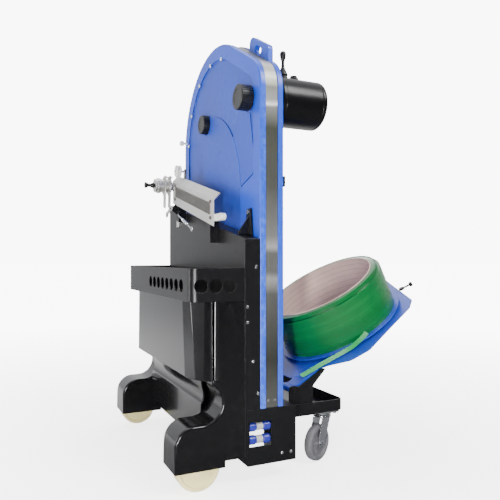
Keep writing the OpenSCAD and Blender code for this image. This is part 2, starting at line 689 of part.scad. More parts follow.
// Two pins between the box wall and an inner cheek
module roller_pins() color(steel) {
    for (z = [roller_mid - roller_pitch / 2, roller_mid + roller_pitch / 2])
        rod_x(exit_x0, roller_y, z, 5, roller_l + 24);
    difference() {
        box([roller_x + roller_l + 4, near_y + sheet_t, exit_z + sheet_t],
            [roller_x + roller_l + 10, near_y + 60, exit_top - sheet_t]);
        for (z = [roller_mid - roller_pitch / 2, roller_mid + roller_pitch / 2])
            rod_x(roller_x + roller_l, roller_y, z, 4.9, 20);
    }
}

// Spool roller: blue ends, pale waist
module exit_roller(z) color([0.15, 0.2, 0.7])
    translate([roller_x, roller_y, z]) rotate([0, 90, 0]) rotate_extrude()
        polygon([[5 + fit, 0], [roller_d / 2 - 1, 0], [roller_d / 2, 1], [roller_d / 2, roller_l * 0.28],
            [roller_d / 2 - 2.5, roller_l * 0.34], [roller_d / 2 - 2.5, roller_l * 0.66],
            [roller_d / 2, roller_l * 0.72], [roller_d / 2, roller_l - 1],
            [roller_d / 2 - 1, roller_l], [5 + fit, roller_l]]);

module exit_roller_upper() exit_roller(roller_mid + roller_pitch / 2);

module exit_roller_lower() exit_roller(roller_mid - roller_pitch / 2);

// ---------- platform and casters ----------

module platform_plan(d) polygon(outline([
    [[platform_x0 + d, platform_y0 + d], 0], [[platform_x1 - d, platform_y0 + d], 24 - d],
    [[platform_x1 - d, platform_y1 - d], 24 - d], [[platform_x0 + d, platform_y1 - d], 0]]));

module platform_frame() color(black) translate([0, 0, platform_z]) linear_extrude(platform_h)
    difference() {
        platform_plan(0);
        platform_plan(sheet_t);
    }

module platform_floor() color(black) translate([0, 0, platform_z]) linear_extrude(sheet_t)
    platform_plan(sheet_t);

module caster_plates() color(steel)
    for (y = caster_ys) difference() {
        translate([caster_x - 42, y - 42, platform_z - 5]) cube([84, 84, 5]);
        translate([caster_x, y, platform_z - 6]) cylinder(r = 8 + fit, h = 7);
        for (dx = [-30, 30], dy = [-30, 30])
            translate([caster_x + dx, y + dy, platform_z - 6]) cylinder(r = 4, h = 7);
    }

// Everything of one caster that swivels, trailing along its own +X
module caster_at(i) translate([caster_x, caster_ys[i], 0]) rotate([0, 0, caster_turns[i]]) children();

module caster_fork(i) color(steel) caster_at(i) {
    translate([0, 0, platform_z - 5.5]) cylinder(r = 8, h = 5);
    translate([0, 0, platform_z - 15]) cylinder(r = 26, h = 15 - 5.5);
    difference() {
        union() {
            for (s = [-1, 1])
                xz(s > 0 ? caster_w / 2 + 2 : -caster_w / 2 - 5, 3) polygon(outline([
                    [[-26, platform_z - 15], 0], [[26, platform_z - 15], 0],
                    [[caster_trail + 16, caster_d / 2 + 20], 14], [[caster_trail + 16, caster_d / 2 - 14], 12],
                    [[caster_trail - 16, caster_d / 2 - 14], 12]]));
            translate([-26, -caster_w / 2 - 5, platform_z - 18]) cube([52, caster_w + 10, 3]);
        }
        rod_y(caster_trail, -caster_w, caster_d / 2, 5, 2 * caster_w);
    }
    rod_y(caster_trail, -caster_w / 2 - 8, caster_d / 2, 5, caster_w + 16);
}

module caster_wheel(i) color([0.45, 0.45, 0.46]) caster_at(i)
    translate([caster_trail, -caster_w / 2, caster_d / 2]) rotate([-90, 0, 0])
        rotate_extrude($fn = 96) polygon(outline([
            [[5 + fit, -1], 0], [[16, -1], 0], [[18, 6], 0], [[caster_d / 2 - 16, 6], 0],
            [[caster_d / 2 - 14, 0], 0], [[caster_d / 2, 0], 8], [[caster_d / 2, caster_w], 8],
            [[caster_d / 2 - 14, caster_w], 0], [[caster_d / 2 - 16, caster_w - 6], 0],
            [[18, caster_w - 6], 0], [[16, caster_w + 1], 0], [[5 + fit, caster_w + 1], 0]]));

module caster_fork_near() caster_fork(0);

module caster_fork_far() caster_fork(1);

module caster_wheel_near() caster_wheel(0);

module caster_wheel_far() caster_wheel(1);

// ---------- coil tray ----------

pin_r = 6;
barrel_r = 11;

// Two brackets on the platform: they hold the hinge pin and stop the tray from below
module tray_brackets() color(black) {
    for (t = bracket_y) difference() {
        xz(pivot.y + t - 4, 8) polygon(outline([
            [[pivot.x - 14, platform_z + sheet_t], 0], [[pivot.x + 74, platform_z + sheet_t], 0],
            [[pivot.x + 78, pivot.z + 9], 8], [[pivot.x + 128, pivot.z + 61], 0],
            [[pivot.x + 116, pivot.z + 116 * tan(coil_tilt) - coil_plate_t / cos(coil_tilt) - gap], 0],
            [[pivot.x + 22, pivot.z + 22 * tan(coil_tilt) - coil_plate_t / cos(coil_tilt) - gap], 0],
            [[pivot.x + 10, pivot.z + 13], 8], [[pivot.x - 14, pivot.z + 13], 10]]));
        rod_y(pivot.x, pivot.y + t - 5, pivot.z, pin_r, 10);
    }
    rod_y(pivot.x, pivot.y + bracket_y[0] - 12, pivot.z, pin_r, bracket_y[1] - bracket_y[0] + 24);
    for (t = [bracket_y[0] - 10, bracket_y[1] + 4])
        rod_y(pivot.x, pivot.y + t, pivot.z, 10, 6, $fn = 6);
}

// Outline of the tray in its own plane, [up the slope, along Y]
function tray_outline() = outline([
    [[42, -101], 10], [[149, -200], 30], [[200, -270], 30], [[268, -293], 40],
    [[372, -270], 60], [[521, -240], 40], [[570, -205], 22], [[650, -18], 30], [[690, 73], 12],
    [[690, 150], 20], [[600, 236], 40], [[372, 268], 60], [[200, 262], 40], [[149, 200], 30],
    [[42, 101], 10]]);

module coil_tray() color(blue) on_tray() {
    difference() {
        union() {
            translate([0, 0, -coil_plate_t]) linear_extrude(coil_plate_t) polygon(tray_outline());
            for (t = [-140, 140]) xz(t - 30, 60) polygon([[6, -8], [6, 8], [24, 0],
                [175, -coil_plate_t + eps], [175, -coil_plate_t - 6], [24, -coil_plate_t - 6]]);
            rod_y(0, bracket_y[0] + 5, 0, barrel_r, bracket_y[1] - bracket_y[0] - 10);
            translate([coil_s, 0, -12]) cylinder(r = 34, h = 12);
        }
        rod_y(0, bracket_y[0], 0, pin_r + fit, bracket_y[1] - bracket_y[0]);
    }
    translate([coil_s, 0, -eps]) {
        cylinder(r = spindle_d / 2, h = 34);
        cylinder(r = spindle_d / 2 + 8, h = 4);
    }
}

hub_r = coil_id / 2 - 2;

// Turning disc with a locating ring for the core
module coil_disc() color(black) on_coil() difference() {
    union() {
        translate([0, 0, 4 + gap / 5]) cylinder(r = spindle_d / 2 + 14, h = 24);
        translate([0, 0, coil_n - 5]) cylinder(r = coil_od / 2 + 8, h = 5, $fn = 128);
        translate([0, 0, coil_n - 1]) difference() {
            cylinder(r = hub_r, h = 19, $fn = 128);
            translate([0, 0, -1]) cylinder(r = hub_r - 5, h = 21, $fn = 128);
        }
    }
    translate([0, 0, 0]) cylinder(r = spindle_d / 2 + fit, h = 60);
}

module coil_core() color([0.62, 0.45, 0.4]) on_coil() translate([0, 0, coil_n])
    ring(coil_id / 2 + core_t, coil_id / 2, coil_w + 1);

module strap_coil() color([0.05, 0.5, 0.2]) on_coil() translate([0, 0, coil_n])
    ring(coil_od / 2, coil_id / 2 + core_t, coil_w);

// Free end of the strap, lying on the tray in a shallow curve towards the hinge
tail_at = [[62, -92], [96, -142], [150, -192], [215, -238], [290, -262], [365, -262], [440, -252]];
module strap_tail() color([0.05, 0.55, 0.22]) on_tray() for (i = [0:len(tail_at) - 2])
    let (a = tail_at[i], b = tail_at[i + 1], across = strap_w / 2 * [a.y - b.y, b.x - a.x] / norm(b - a))
    linear_extrude(0.8) polygon([a - across, b - across, b + across, a + across]);

// Sprung dancer lever at the end of the tray, with a round knob
lever_s = 628;
lever_t = -90;
module dancer_lever() color(black) on_tray() translate([lever_s, lever_t, 0]) {
    translate([0, 0, 0.4]) cylinder(r = 10, h = 8);
    rotate([0, 0, -24]) {
        translate([0, 0, 4]) rotate([0, 90, 0]) cylinder(r = 3.5, h = 34);
        translate([34, 0, 4]) rotate([0, 90, 0]) rotate_extrude()
            polygon([[0, 0], [7, 0], [9, 3], [9, 9], [7, 12], [0, 12]]);
    }
}

// ---------- tool holder ----------

function holder_line(y) = holder_z + holder_rise * (y - holder_y) / holder_l;

module holder_slab(y0, y1, z0, z1) polygon([[y0, holder_line(y0) + z0], [y1, holder_line(y1) + z0],
    [y1, holder_line(y1) + z1], [y0, holder_line(y0) + z1]]);

holder_screw_at = [[28, 24], [28, 78], [holder_l - 34, 24], [holder_l - 34, 78]];

// Front plate with a top flange that leans back, on two feet against the column
module holder_plate() color(steel) difference() {
    union() {
        yz(holder_x - sheet_t, sheet_t) holder_slab(holder_y, holder_y + holder_l, 0, holder_h);
        hull() for (y = [holder_y, holder_y + holder_l - 0.1]) {
            translate([holder_x - sheet_t, y, holder_line(y) + holder_h - 3]) cube([sheet_t, 0.1, 3]);
            translate([holder_x + 19, y, holder_line(y) + holder_h + 19]) cube([sheet_t, 0.1, 3]);
        }
        for (y = [holder_y + 40, holder_y + holder_l - 70])
            yz(holder_x - eps, col_x0 - holder_x + eps) holder_slab(y, y + 30, -64, 36);
        rod_x(holder_x - 28, latch_y, latch_z, 4, 28);
        rod_x(holder_x - 14, pulley_y, pulley_z, 4, 46);
        yz(col_x0 - 6, 6) polygon([[pulley_y - 10, holder_line(pulley_y)],
            [pulley_y + 10, holder_line(pulley_y)], [pulley_y + 10, pulley_z + 10],
            [pulley_y - 10, pulley_z + 10]]);
    }
    for (p = holder_screw_at)
        rod_x(holder_x - 10, holder_y + p.x, holder_line(holder_y + p.x) + p.y, 3, 12);
}

// Ribbed rubber pad and the four black screws of the holder
module holder_pad() color([0.3, 0.29, 0.28]) {
    difference() {
        yz(holder_x - sheet_t - 4, 4) holder_slab(holder_y + 34, holder_y + holder_l - 42, 34, 74);
        for (i = [0:4])
            yz(holder_x - sheet_t - 5, 2.5)
                holder_slab(holder_y + 30, holder_y + holder_l - 30, 38 + 7 * i, 41 + 7 * i);
    }
    for (p = holder_screw_at) {
        rod_x(holder_x - sheet_t - 4, holder_y + p.x, holder_line(holder_y + p.x) + p.y, 6, 4);
        rod_x(holder_x - sheet_t, holder_y + p.x, holder_line(holder_y + p.x) + p.y, 3, sheet_t + 6);
    }
}

pulley_y = holder_y + holder_l - 60;
pulley_z = holder_line(pulley_y) + holder_h + 47;
latch_y = holder_y + holder_l - 44;
latch_z = holder_line(latch_y) - 14;

// Mechanism at the far end: two cheeks with an S-shaped edge, a drum and a pulley pin
module holder_head() color(steel) difference() {
    union() {
        for (x = [-10, -30])
            yz(holder_x + x - 4, 4) polygon(outline([
                [[head_y - 8, head_z - 96], 6], [[head_y + 22, head_z - 88], 10],
                [[head_y + 18, head_z - 40], 16], [[head_y + 44, head_z - 22], 16],
                [[head_y + 40, head_z + 30], 20], [[head_y - 20, head_z + 44], 12],
                [[head_y - 18, head_z - 10], 8]]));
        rod_x(holder_x - 72, head_y + 16, head_z, 27, 72 - sheet_t);
        rod_x(holder_x - 62, head_y + 16, head_z, 31, 14);
        rod_x(holder_x - 10, head_y + 16, head_z, 14, col_x0 - holder_x + 10);
        for (p = [[-6, 34], [30, 22]])
            rod_x(holder_x - 40, head_y + p.x, head_z + p.y, 3, 38);
        yz(col_x0 - 5, 5) polygon([[head_y, column_top(head_y) - 70],
            [head_y + 30, column_top(head_y) - 70], [head_y + 30, head_z + 12], [head_y, head_z + 12]]);
    }
    rod_x(holder_x - 74, head_y + 16, head_z, 6 + fit, 40);
}

// Black waisted knob on the drum's spindle
module head_knob() color(black) translate([holder_x - 112, head_y + 16, head_z]) rotate([0, 90, 0])
    rotate_extrude() polygon([[0, 0], [12, 0], [12, 6], [6, 16], [6, 22], [11, 30], [11, 36],
        [7, 39], [6, 39], [6, 72], [0, 72]]);

module guide_pulley() color(white) translate([holder_x - 10, pulley_y, pulley_z]) rotate([0, 90, 0])
    rotate_extrude() polygon([[4 + fit, 0], [22, 0], [24, 2], [24, 7], [19, 10], [24, 13],
        [24, 20], [4 + fit, 20]]);

// Hooked latch lever below the holder's far end
module latch_lever() color(steel) difference() {
    yz(holder_x - 26, 5) polygon(outline([
        [[latch_y - 14, latch_z - 8], 6], [[latch_y + 12, latch_z - 8], 0],
        [[latch_y + 44, latch_z - 20], 6], [[latch_y + 60, latch_z - 34], 5],
        [[latch_y + 74, latch_z - 24], 6], [[latch_y + 66, latch_z - 4], 6],
        [[latch_y + 58, latch_z - 12], 3], [[latch_y + 44, latch_z - 4], 6],
        [[latch_y + 12, latch_z + 8], 0], [[latch_y - 14, latch_z + 8], 6]]));
    rod_x(holder_x - 27, latch_y, latch_z, 4 + fit, 8);
}

// White hanger block at the near end, with a cross hole for the tool's hook
hanger_y = holder_y - 62;
hanger_z = holder_line(holder_y) + 18;
module tool_hanger() color(white) difference() {
    union() {
        box([holder_x, hanger_y + 12, hanger_z], [holder_x + 18, holder_y + 24, hanger_z + 24]);
        rod_x(holder_x, hanger_y + 12, hanger_z + 12, 12, 18);
    }
    rod_x(holder_x - 1, hanger_y + 12, hanger_z + 12, hanger_r, 20);
}

magazine_left_plate();
magazine_right_plate();
outer_track();
inner_track();
magazine_cover();
cover_clips();
chain_lance();
shaft_bushes();
drive_shaft();
drive_sprocket();
drive_knob();
idler_shaft();
idler_sprocket();
idler_knob();
motor_flange();
motor_housing();
motor_cap();
joystick_collar();
joystick_lever();
power_button();
column_panel();
magazine_brace();
panel_screws();
hex_bolts();
tool_tray();
front_cowl();
battery_shelf();
battery_pack();
motor_controller();
front_crossbeam();
chassis_rails();
axle_brackets();
front_axles();
front_wheel_near();
front_wheel_far();
exit_box();
roller_pins();
exit_roller_upper();
exit_roller_lower();
platform_frame();
platform_floor();
caster_plates();
caster_fork_near();
caster_fork_far();
caster_wheel_near();
caster_wheel_far();
tray_brackets();
coil_tray();
coil_disc();
coil_core();
strap_coil();
strap_tail();
dancer_lever();
holder_plate();
holder_pad();
holder_head();
tool_hanger();
head_knob();
guide_pulley();
latch_lever();
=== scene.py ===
"""Finished look of the semi automatic strapping machine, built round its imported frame."""

import json
import math

import bpy
from mathutils import Matrix, Vector


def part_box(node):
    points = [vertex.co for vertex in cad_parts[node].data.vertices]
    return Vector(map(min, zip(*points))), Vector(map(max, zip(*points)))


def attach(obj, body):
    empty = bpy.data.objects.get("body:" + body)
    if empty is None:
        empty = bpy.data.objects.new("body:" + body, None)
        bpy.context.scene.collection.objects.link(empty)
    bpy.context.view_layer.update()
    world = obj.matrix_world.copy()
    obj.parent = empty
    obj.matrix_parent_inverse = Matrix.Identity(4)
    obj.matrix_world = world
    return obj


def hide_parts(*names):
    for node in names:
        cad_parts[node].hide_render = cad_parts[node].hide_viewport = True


bl_info = {
    "name": "Strapping Machine",
    "version": (1, 0, 0),
    "blender": (4, 5, 0),
    "location": "View3D > Sidebar > Strapping Machine",
    "description": "Builds the finished look of a semi automatic strapping machine",
    "category": "Object",
}

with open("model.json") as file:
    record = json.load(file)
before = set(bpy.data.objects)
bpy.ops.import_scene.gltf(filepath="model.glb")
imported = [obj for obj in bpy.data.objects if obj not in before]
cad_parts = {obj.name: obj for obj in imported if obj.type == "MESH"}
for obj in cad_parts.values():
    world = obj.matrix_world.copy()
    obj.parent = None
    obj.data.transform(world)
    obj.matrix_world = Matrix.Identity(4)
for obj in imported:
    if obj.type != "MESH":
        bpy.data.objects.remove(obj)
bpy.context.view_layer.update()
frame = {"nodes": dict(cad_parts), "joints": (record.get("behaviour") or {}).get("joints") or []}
TILT = math.radians(30.6)
COIL_SEAT = (0.361, 0, 0.014)
DUST = (0.45, 0.43, 0.40)
FINISHES = {}


# ---------- modelling helpers ----------


def clear():
    """Object mode, with nothing selected."""
    if bpy.context.mode != "OBJECT":
        bpy.ops.object.mode_set(mode="OBJECT")
    bpy.ops.object.select_all(action="DESELECT")


def pick(piece):
    clear()
    piece.select_set(True)
    bpy.context.view_layer.objects.active = piece
    return piece


def named(name):
    piece = bpy.context.view_layer.objects.active
    piece.name = piece.data.name = name
    return piece


def choose(piece, faces=None, edges=None, points=None):
    """Edit mode with the faces, edges or points that pass the test selected."""
    pick(piece)
    bpy.ops.object.mode_set(mode="EDIT")
    bpy.ops.mesh.select_mode(type="FACE" if faces else "EDGE" if edges else "VERT")
    bpy.ops.mesh.select_all(action="DESELECT")
    bpy.ops.object.mode_set(mode="OBJECT")
    if faces:
        for face in piece.data.polygons:
            face.select = bool(faces(face))
    elif points:
        for vertex in piece.data.vertices:
            vertex.select = bool(points(vertex.co))
    else:
        verts = piece.data.vertices
        for edge in piece.data.edges:
            a, b = (verts[i].co for i in edge.vertices)
            edge.select = bool(edges(a, b))
    bpy.ops.object.mode_set(mode="EDIT")


def modify(piece, kind, **settings):
    """Adds a modifier, sets it and applies it."""
    pick(piece)
    bpy.ops.object.modifier_add(type=kind)
    modifier = piece.modifiers[-1]
    for key, value in settings.items():
        setattr(modifier, key, value)
    bpy.ops.object.modifier_apply(modifier=modifier.name)
    return piece


def rounded(piece, width, segments=2, angle=30, smooth=32):
    """Rounds the edges sharper than angle and shades the rest smooth."""
    modify(piece, "BEVEL", width=width, segments=segments, limit_method="ANGLE",
           angle_limit=math.radians(angle), use_clamp_overlap=False, miter_outer="MITER_ARC")
    return smoothed(piece, smooth)


def smoothed(piece, angle=32):
    pick(piece)
    bpy.ops.object.shade_smooth_by_angle(angle=math.radians(angle))
    modify(piece, "WEIGHTED_NORMAL", keep_sharp=True, weight=60)
    return piece


def outwards(piece):
    """Merges doubles and turns every face outwards."""
    choose(piece, faces=lambda f: True)
    bpy.ops.mesh.remove_doubles(threshold=1e-6)
    bpy.ops.mesh.normals_make_consistent(inside=False)
    clear()
    return piece


def settled(piece, at=(0, 0, 0), axis=(0, 0, 1), roll=0.0):
    """Stands a piece modelled round +Z at a place and along an axis, its place then in its mesh."""
    pick(piece)
    turn = Vector((0, 0, 1)).rotation_difference(Vector(axis).normalized()).to_matrix()
    piece.matrix_world = Matrix.Translation(Vector(at)) @ turn.to_4x4() @ Matrix.Rotation(roll, 4, "Z")
    bpy.ops.object.transform_apply()
    return piece


def turned(name, profile, at=(0, 0, 0), axis=(0, 0, 1), steps=64, hollow=False):
    """A turned piece: a circle extruded and resized ring by ring through (radius, height)."""
    clear()
    r, z = profile[0]
    bpy.ops.mesh.primitive_circle_add(vertices=steps, radius=r, location=(0, 0, z),
                                      fill_type="NOTHING" if hollow else "NGON")
    piece = named(name)
    bpy.ops.object.transform_apply()
    bpy.ops.object.mode_set(mode="EDIT")
    bpy.ops.mesh.select_mode(type="EDGE")
    bpy.ops.mesh.select_all(action="SELECT")
    for (ra, za), (rb, zb) in zip(profile, profile[1:]):
        bpy.ops.mesh.extrude_region_move(TRANSFORM_OT_translate={"value": (0, 0, zb - za)})
        if abs(rb - ra) > 1e-9:
            bpy.ops.transform.resize(value=(rb / ra, rb / ra, 1), center_override=(0, 0, zb))
    if hollow:
        bpy.ops.mesh.select_all(action="DESELECT")
        bpy.ops.mesh.select_non_manifold()
        bpy.ops.mesh.bridge_edge_loops()
    outwards(piece)
    return settled(piece, at, axis)


def started(name, place):
    """A new mesh of one point, selected in edit mode and ready to be extruded."""
    clear()
    bpy.ops.mesh.primitive_plane_add(size=0.001, location=place)
    piece = named(name)
    bpy.ops.object.transform_apply()
    bpy.ops.object.mode_set(mode="EDIT")
    bpy.ops.mesh.select_mode(type="VERT")
    bpy.ops.mesh.select_all(action="SELECT")
    bpy.ops.mesh.merge(type="CENTER")
    return piece


def extrude_along(points):
    """Extrudes what is selected from point to point."""
    for a, b in zip(points, points[1:]):
        bpy.ops.mesh.extrude_region_move(TRANSFORM_OT_translate={"value": b - a})


def traced(name, outline, depth, at=(0, 0, 0), matrix=None):
    """A flat outline in XY, drawn point by point, filled and extruded along +Z."""
    points = [Vector((x, y, 0)) for x, y in outline]
    piece = started(name, points[0])
    extrude_along(points)
    bpy.ops.mesh.select_all(action="SELECT")
    bpy.ops.mesh.edge_face_add()
    bpy.ops.mesh.extrude_region_move(TRANSFORM_OT_translate={"value": (0, 0, depth)})
    outwards(piece)
    pick(piece)
    piece.matrix_world = matrix if matrix is not None else Matrix.Translation(Vector(at))
    bpy.ops.object.transform_apply()
    return piece


def block(name, low, high, width=0.001, segments=2):
    """A block between two corners with rounded edges."""
    clear()
    low, high = Vector(low), Vector(high)
    bpy.ops.mesh.primitive_cube_add(size=1, location=(low + high) / 2, scale=high - low)
    piece = named(name)
    bpy.ops.object.transform_apply()
    return rounded(piece, width, segments)


def refined(node, name, width=0.0008, segments=2, angle=30, flat=0.2):
    """The CAD node's shape as a finished mesh: merged, flat faces joined, edges rounded."""
    clear()
    piece = bpy.data.objects.new(name, frame["nodes"][node].data.copy())
    piece.data.name = name
    piece.data.materials.clear()
    bpy.context.scene.collection.objects.link(piece)
    choose(piece, faces=lambda f: True)
    bpy.ops.mesh.remove_doubles(threshold=1e-6)
    bpy.ops.mesh.dissolve_limited(angle_limit=math.radians(flat))
    bpy.ops.mesh.customdata_custom_splitnormals_clear()
    clear()
    if width:
        rounded(piece, width, segments, angle)
    else:
        smoothed(piece)
    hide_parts(node)
    return piece


def bevelled_where(piece, width, segments, where):
    """Rounds only the edges that pass the test on their two ends."""
    choose(piece, edges=where)
    bpy.ops.mesh.bevel(offset=width, segments=segments, profile=0.5, clamp_overlap=False)
    clear()
    return piece


def joined(name, *parts):
    """Several meshes as one piece."""
    clear()
    for part in parts:
        part.select_set(True)
    bpy.context.view_layer.objects.active = parts[0]
    bpy.ops.object.join()
    return named(name)


def mirrored(half, width):
    """A profile, and its mirror image at the other end of the width."""
    return half + [(radius, width - height) for radius, height in reversed(half)]


def ready(piece, finish, body, slot, *nodes):
    """Gives a piece its finish, its body and the nodes it stands for; its slot is not used."""
    piece.data.materials.clear()
    piece.data.materials.append(FINISHES[finish])
    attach(piece, body)
    if nodes:
        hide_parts(*nodes)
    return piece


def restyled(node, name, finish, slot, body="frame", **shape):
    """The refined shape of a CAD node, in its finish and standing for the node."""
    return ready(refined(node, name, **shape), finish, body, slot, node)


def on_tray(s, t, n=0.0):
    """A place in the coil tray's own frame: up the slope, along Y, out of the tray."""
    props = bpy.context.scene.strapping_coil
    return Vector(props.hinge) + Vector((s * math.cos(TILT) - n * math.sin(TILT), t,
                                         s * math.sin(TILT) + n * math.cos(TILT)))


def middle(node):
    low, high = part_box(node)
    return (low + high) / 2


def end_face(node):
    """The middle of the face that a node turns to -X."""
    low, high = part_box(node)
    return Vector((low.x, (low.y + high.y) / 2, (low.z + high.z) / 2))


# ---------- shared surface effects ----------


def effect(name, inputs, outputs):
    """An empty node group with its inputs and outputs; returns the group, its ends and a maker."""
    tree = bpy.data.node_groups.new(name, "ShaderNodeTree")
    for label, kind, default in inputs:
        socket = tree.interface.new_socket(name=label, in_out="INPUT", socket_type="NodeSocket" + kind)
        socket.default_value = default
    for label, kind in outputs:
        tree.interface.new_socket(name=label, in_out="OUTPUT", socket_type="NodeSocket" + kind)
    start, end = tree.nodes.new("NodeGroupInput"), tree.nodes.new("NodeGroupOutput")
    return tree, start, end, maker(tree)


def maker(tree):
    """A short way to add a node: its type, settings, then values or links for its inputs."""

    def add(kind, settings=None, **sockets):
        node = tree.nodes.new("ShaderNode" + kind)
        for key, value in (settings or {}).items():
            setattr(node, key, value)
        for key, value in sockets.items():
            index = int(key[1:]) if key[0] == "i" and key[1:].isdigit() else key.replace("_", " ")
            if isinstance(value, bpy.types.NodeSocket):
                tree.links.new(value, node.inputs[index])
            else:
                node.inputs[index].default_value = value
        return node

    return add


def here(add):
    """Object coordinates."""
    return add("TexCoord").outputs["Object"]


def noise(add, place, scale, detail=2.0, rough=0.5):
    """Noise at a place."""
    return add("TexNoise", Vector=place, Scale=scale, Detail=detail, Roughness=rough).outputs["Fac"]


def strands(add, along, scale, detail=2.0):
    """Noise that changes along one value only."""
    return add("TexNoise", {"noise_dimensions": "1D"}, W=along, Scale=scale, Detail=detail).outputs["Fac"]


def maths(add, operation, *values, clamp=False):
    """The result of a Math node."""
    inputs = {f"i{index}": value for index, value in enumerate(values)}
    return add("Math", {"operation": operation, "use_clamp": clamp}, **inputs).outputs[0]


def ranged(add, value, low, high, to_low=0.0, to_high=1.0, kind="LINEAR"):
    """A value's range turned into another one, clamped."""
    return add("MapRange", {"clamp": True, "interpolation_type": kind}, Value=value, From_Min=low,
               From_Max=high, To_Min=to_low, To_Max=to_high).outputs[0]


def effect_tone():
    """Slow and fine changes of a colour over the surface."""
    tree, start, end, add = effect(
        "Tone over the surface",
        [("Colour", "Color", (0.5, 0.5, 0.5, 1)), ("Depth", "Float", 0.1), ("Size", "Float", 6.0)],
        [("Colour", "Color"), ("Mask", "Float")])
    place, size = here(add), start.outputs["Size"]
    broad = noise(add, place, size, 4.0, 0.6)
    fine = noise(add, place, maths(add, "MULTIPLY", size, 14.0), 3.0, 0.7)
    mask = ranged(add, maths(add, "MULTIPLY_ADD", fine, 0.4, broad), 0.45, 0.95)
    half = maths(add, "SUBTRACT", mask, 0.5)
    gain = maths(add, "MULTIPLY_ADD", half, start.outputs["Depth"], 1.0)
    scaled = add("VectorMath", {"operation": "SCALE"}, i0=start.outputs["Colour"], Scale=gain)
    tree.links.new(scaled.outputs[0], end.inputs["Colour"])
    tree.links.new(mask, end.inputs["Mask"])
    return tree


def effect_wear():
    """Rubbed edges: where the surface turns outwards, broken up by noise."""
    tree, start, end, add = effect(
        "Edge wear", [("Amount", "Float", 0.5), ("Break up", "Float", 60.0)], [("Mask", "Float")])
    edge = ranged(add, add("NewGeometry").outputs["Pointiness"], 0.515, 0.6)
    patch = ranged(add, noise(add, here(add), start.outputs["Break up"], 5.0), 0.42, 0.68)
    rub = maths(add, "MULTIPLY", edge, patch)
    tree.links.new(maths(add, "MULTIPLY", rub, start.outputs["Amount"], clamp=True), end.inputs["Mask"])
    return tree


def effect_dust():
    """Dust that settles on what faces up."""
    tree, start, end, add = effect(
        "Settled dust", [("Amount", "Float", 0.2), ("Size", "Float", 24.0)], [("Mask", "Float")])
    up = add("SeparateXYZ", Vector=add("NewGeometry").outputs["Normal"])
    facing = ranged(add, up.outputs["Z"], 0.35, 1.0)
    patch = ranged(add, noise(add, here(add), start.outputs["Size"], 6.0, 0.7), 0.35, 0.75)
    lay = maths(add, "MULTIPLY", facing, patch)
    tree.links.new(maths(add, "MULTIPLY", lay, start.outputs["Amount"], clamp=True), end.inputs["Mask"])
    return tree


def effect_scuffs():
    """Thin handling scratches in two directions."""
    tree, start, end, add = effect(
        "Handling scuffs", [("Amount", "Float", 0.3), ("Size", "Float", 30.0)], [("Mask", "Float")])
    place = here(add)
    lines = []
    for turn, stretch in (((0.5, 0.3, 0.9), (1.0, 14.0, 1.0)), ((0.2, 1.1, 0.4), (16.0, 1.0, 1.0))):
        mapped = add("Mapping", Vector=place, Rotation=turn, Scale=stretch)
        lines.append(ranged(add, noise(add, mapped.outputs[0], start.outputs["Size"]), 0.66, 0.72))
    both = maths(add, "MAXIMUM", *lines)
    tree.links.new(maths(add, "MULTIPLY", both, start.outputs["Amount"], clamp=True), end.inputs["Mask"])
    return tree


def effect_grain():
    """Height of a moulded or powder-coated skin: pebbles with a fine roughness on top."""
    tree, start, end, add = effect(
        "Skin grain", [("Size", "Float", 800.0), ("Waviness", "Float", 0.3)], [("Height", "Float")])
    place, size = here(add), start.outputs["Size"]
    wave = noise(add, place, maths(add, "DIVIDE", size, 40.0), 1.0)
    lift = maths(add, "MULTIPLY", wave, start.outputs["Waviness"])
    tree.links.new(maths(add, "ADD", noise(add, place, size), lift), end.inputs["Height"])
    return tree


def effect_brushing():
    """Fine lines of brushed metal; Stretch is the scale of the pattern along X, Y and Z."""
    tree, start, end, add = effect(
        "Brushing", [("Stretch", "Vector", (1.0, 400.0, 400.0))], [("Value", "Float")])
    mapped = add("Mapping", Vector=here(add), Scale=start.outputs["Stretch"])
    tree.links.new(noise(add, mapped.outputs[0], 2.0, 4.0, 0.75), end.inputs["Value"])
    return tree


def place_group(add, effect_name, **values):
    """A shared effect placed in a material with its own values."""
    node = add("Group", {"node_tree": EFFECTS[effect_name]})
    for key, value in values.items():
        node.inputs[key.replace("_", " ")].default_value = value
    return node


def mixed(add, tree, mask, a, b):
    """Colour a, with colour b where the mask is."""
    mix = add("Mix", {"data_type": "RGBA"})
    tree.links.new(mask, mix.inputs[0])
    for index, value in ((6, a), (7, b)):
        if isinstance(value, bpy.types.NodeSocket):
            tree.links.new(value, mix.inputs[index])
        else:
            mix.inputs[index].default_value = (*value, 1)
    return mix.outputs[2]


def feed(tree, shader, **links):
    """Links values to the shader's inputs."""
    for key, value in links.items():
        tree.links.new(value, shader.inputs[key.replace("_", " ")])


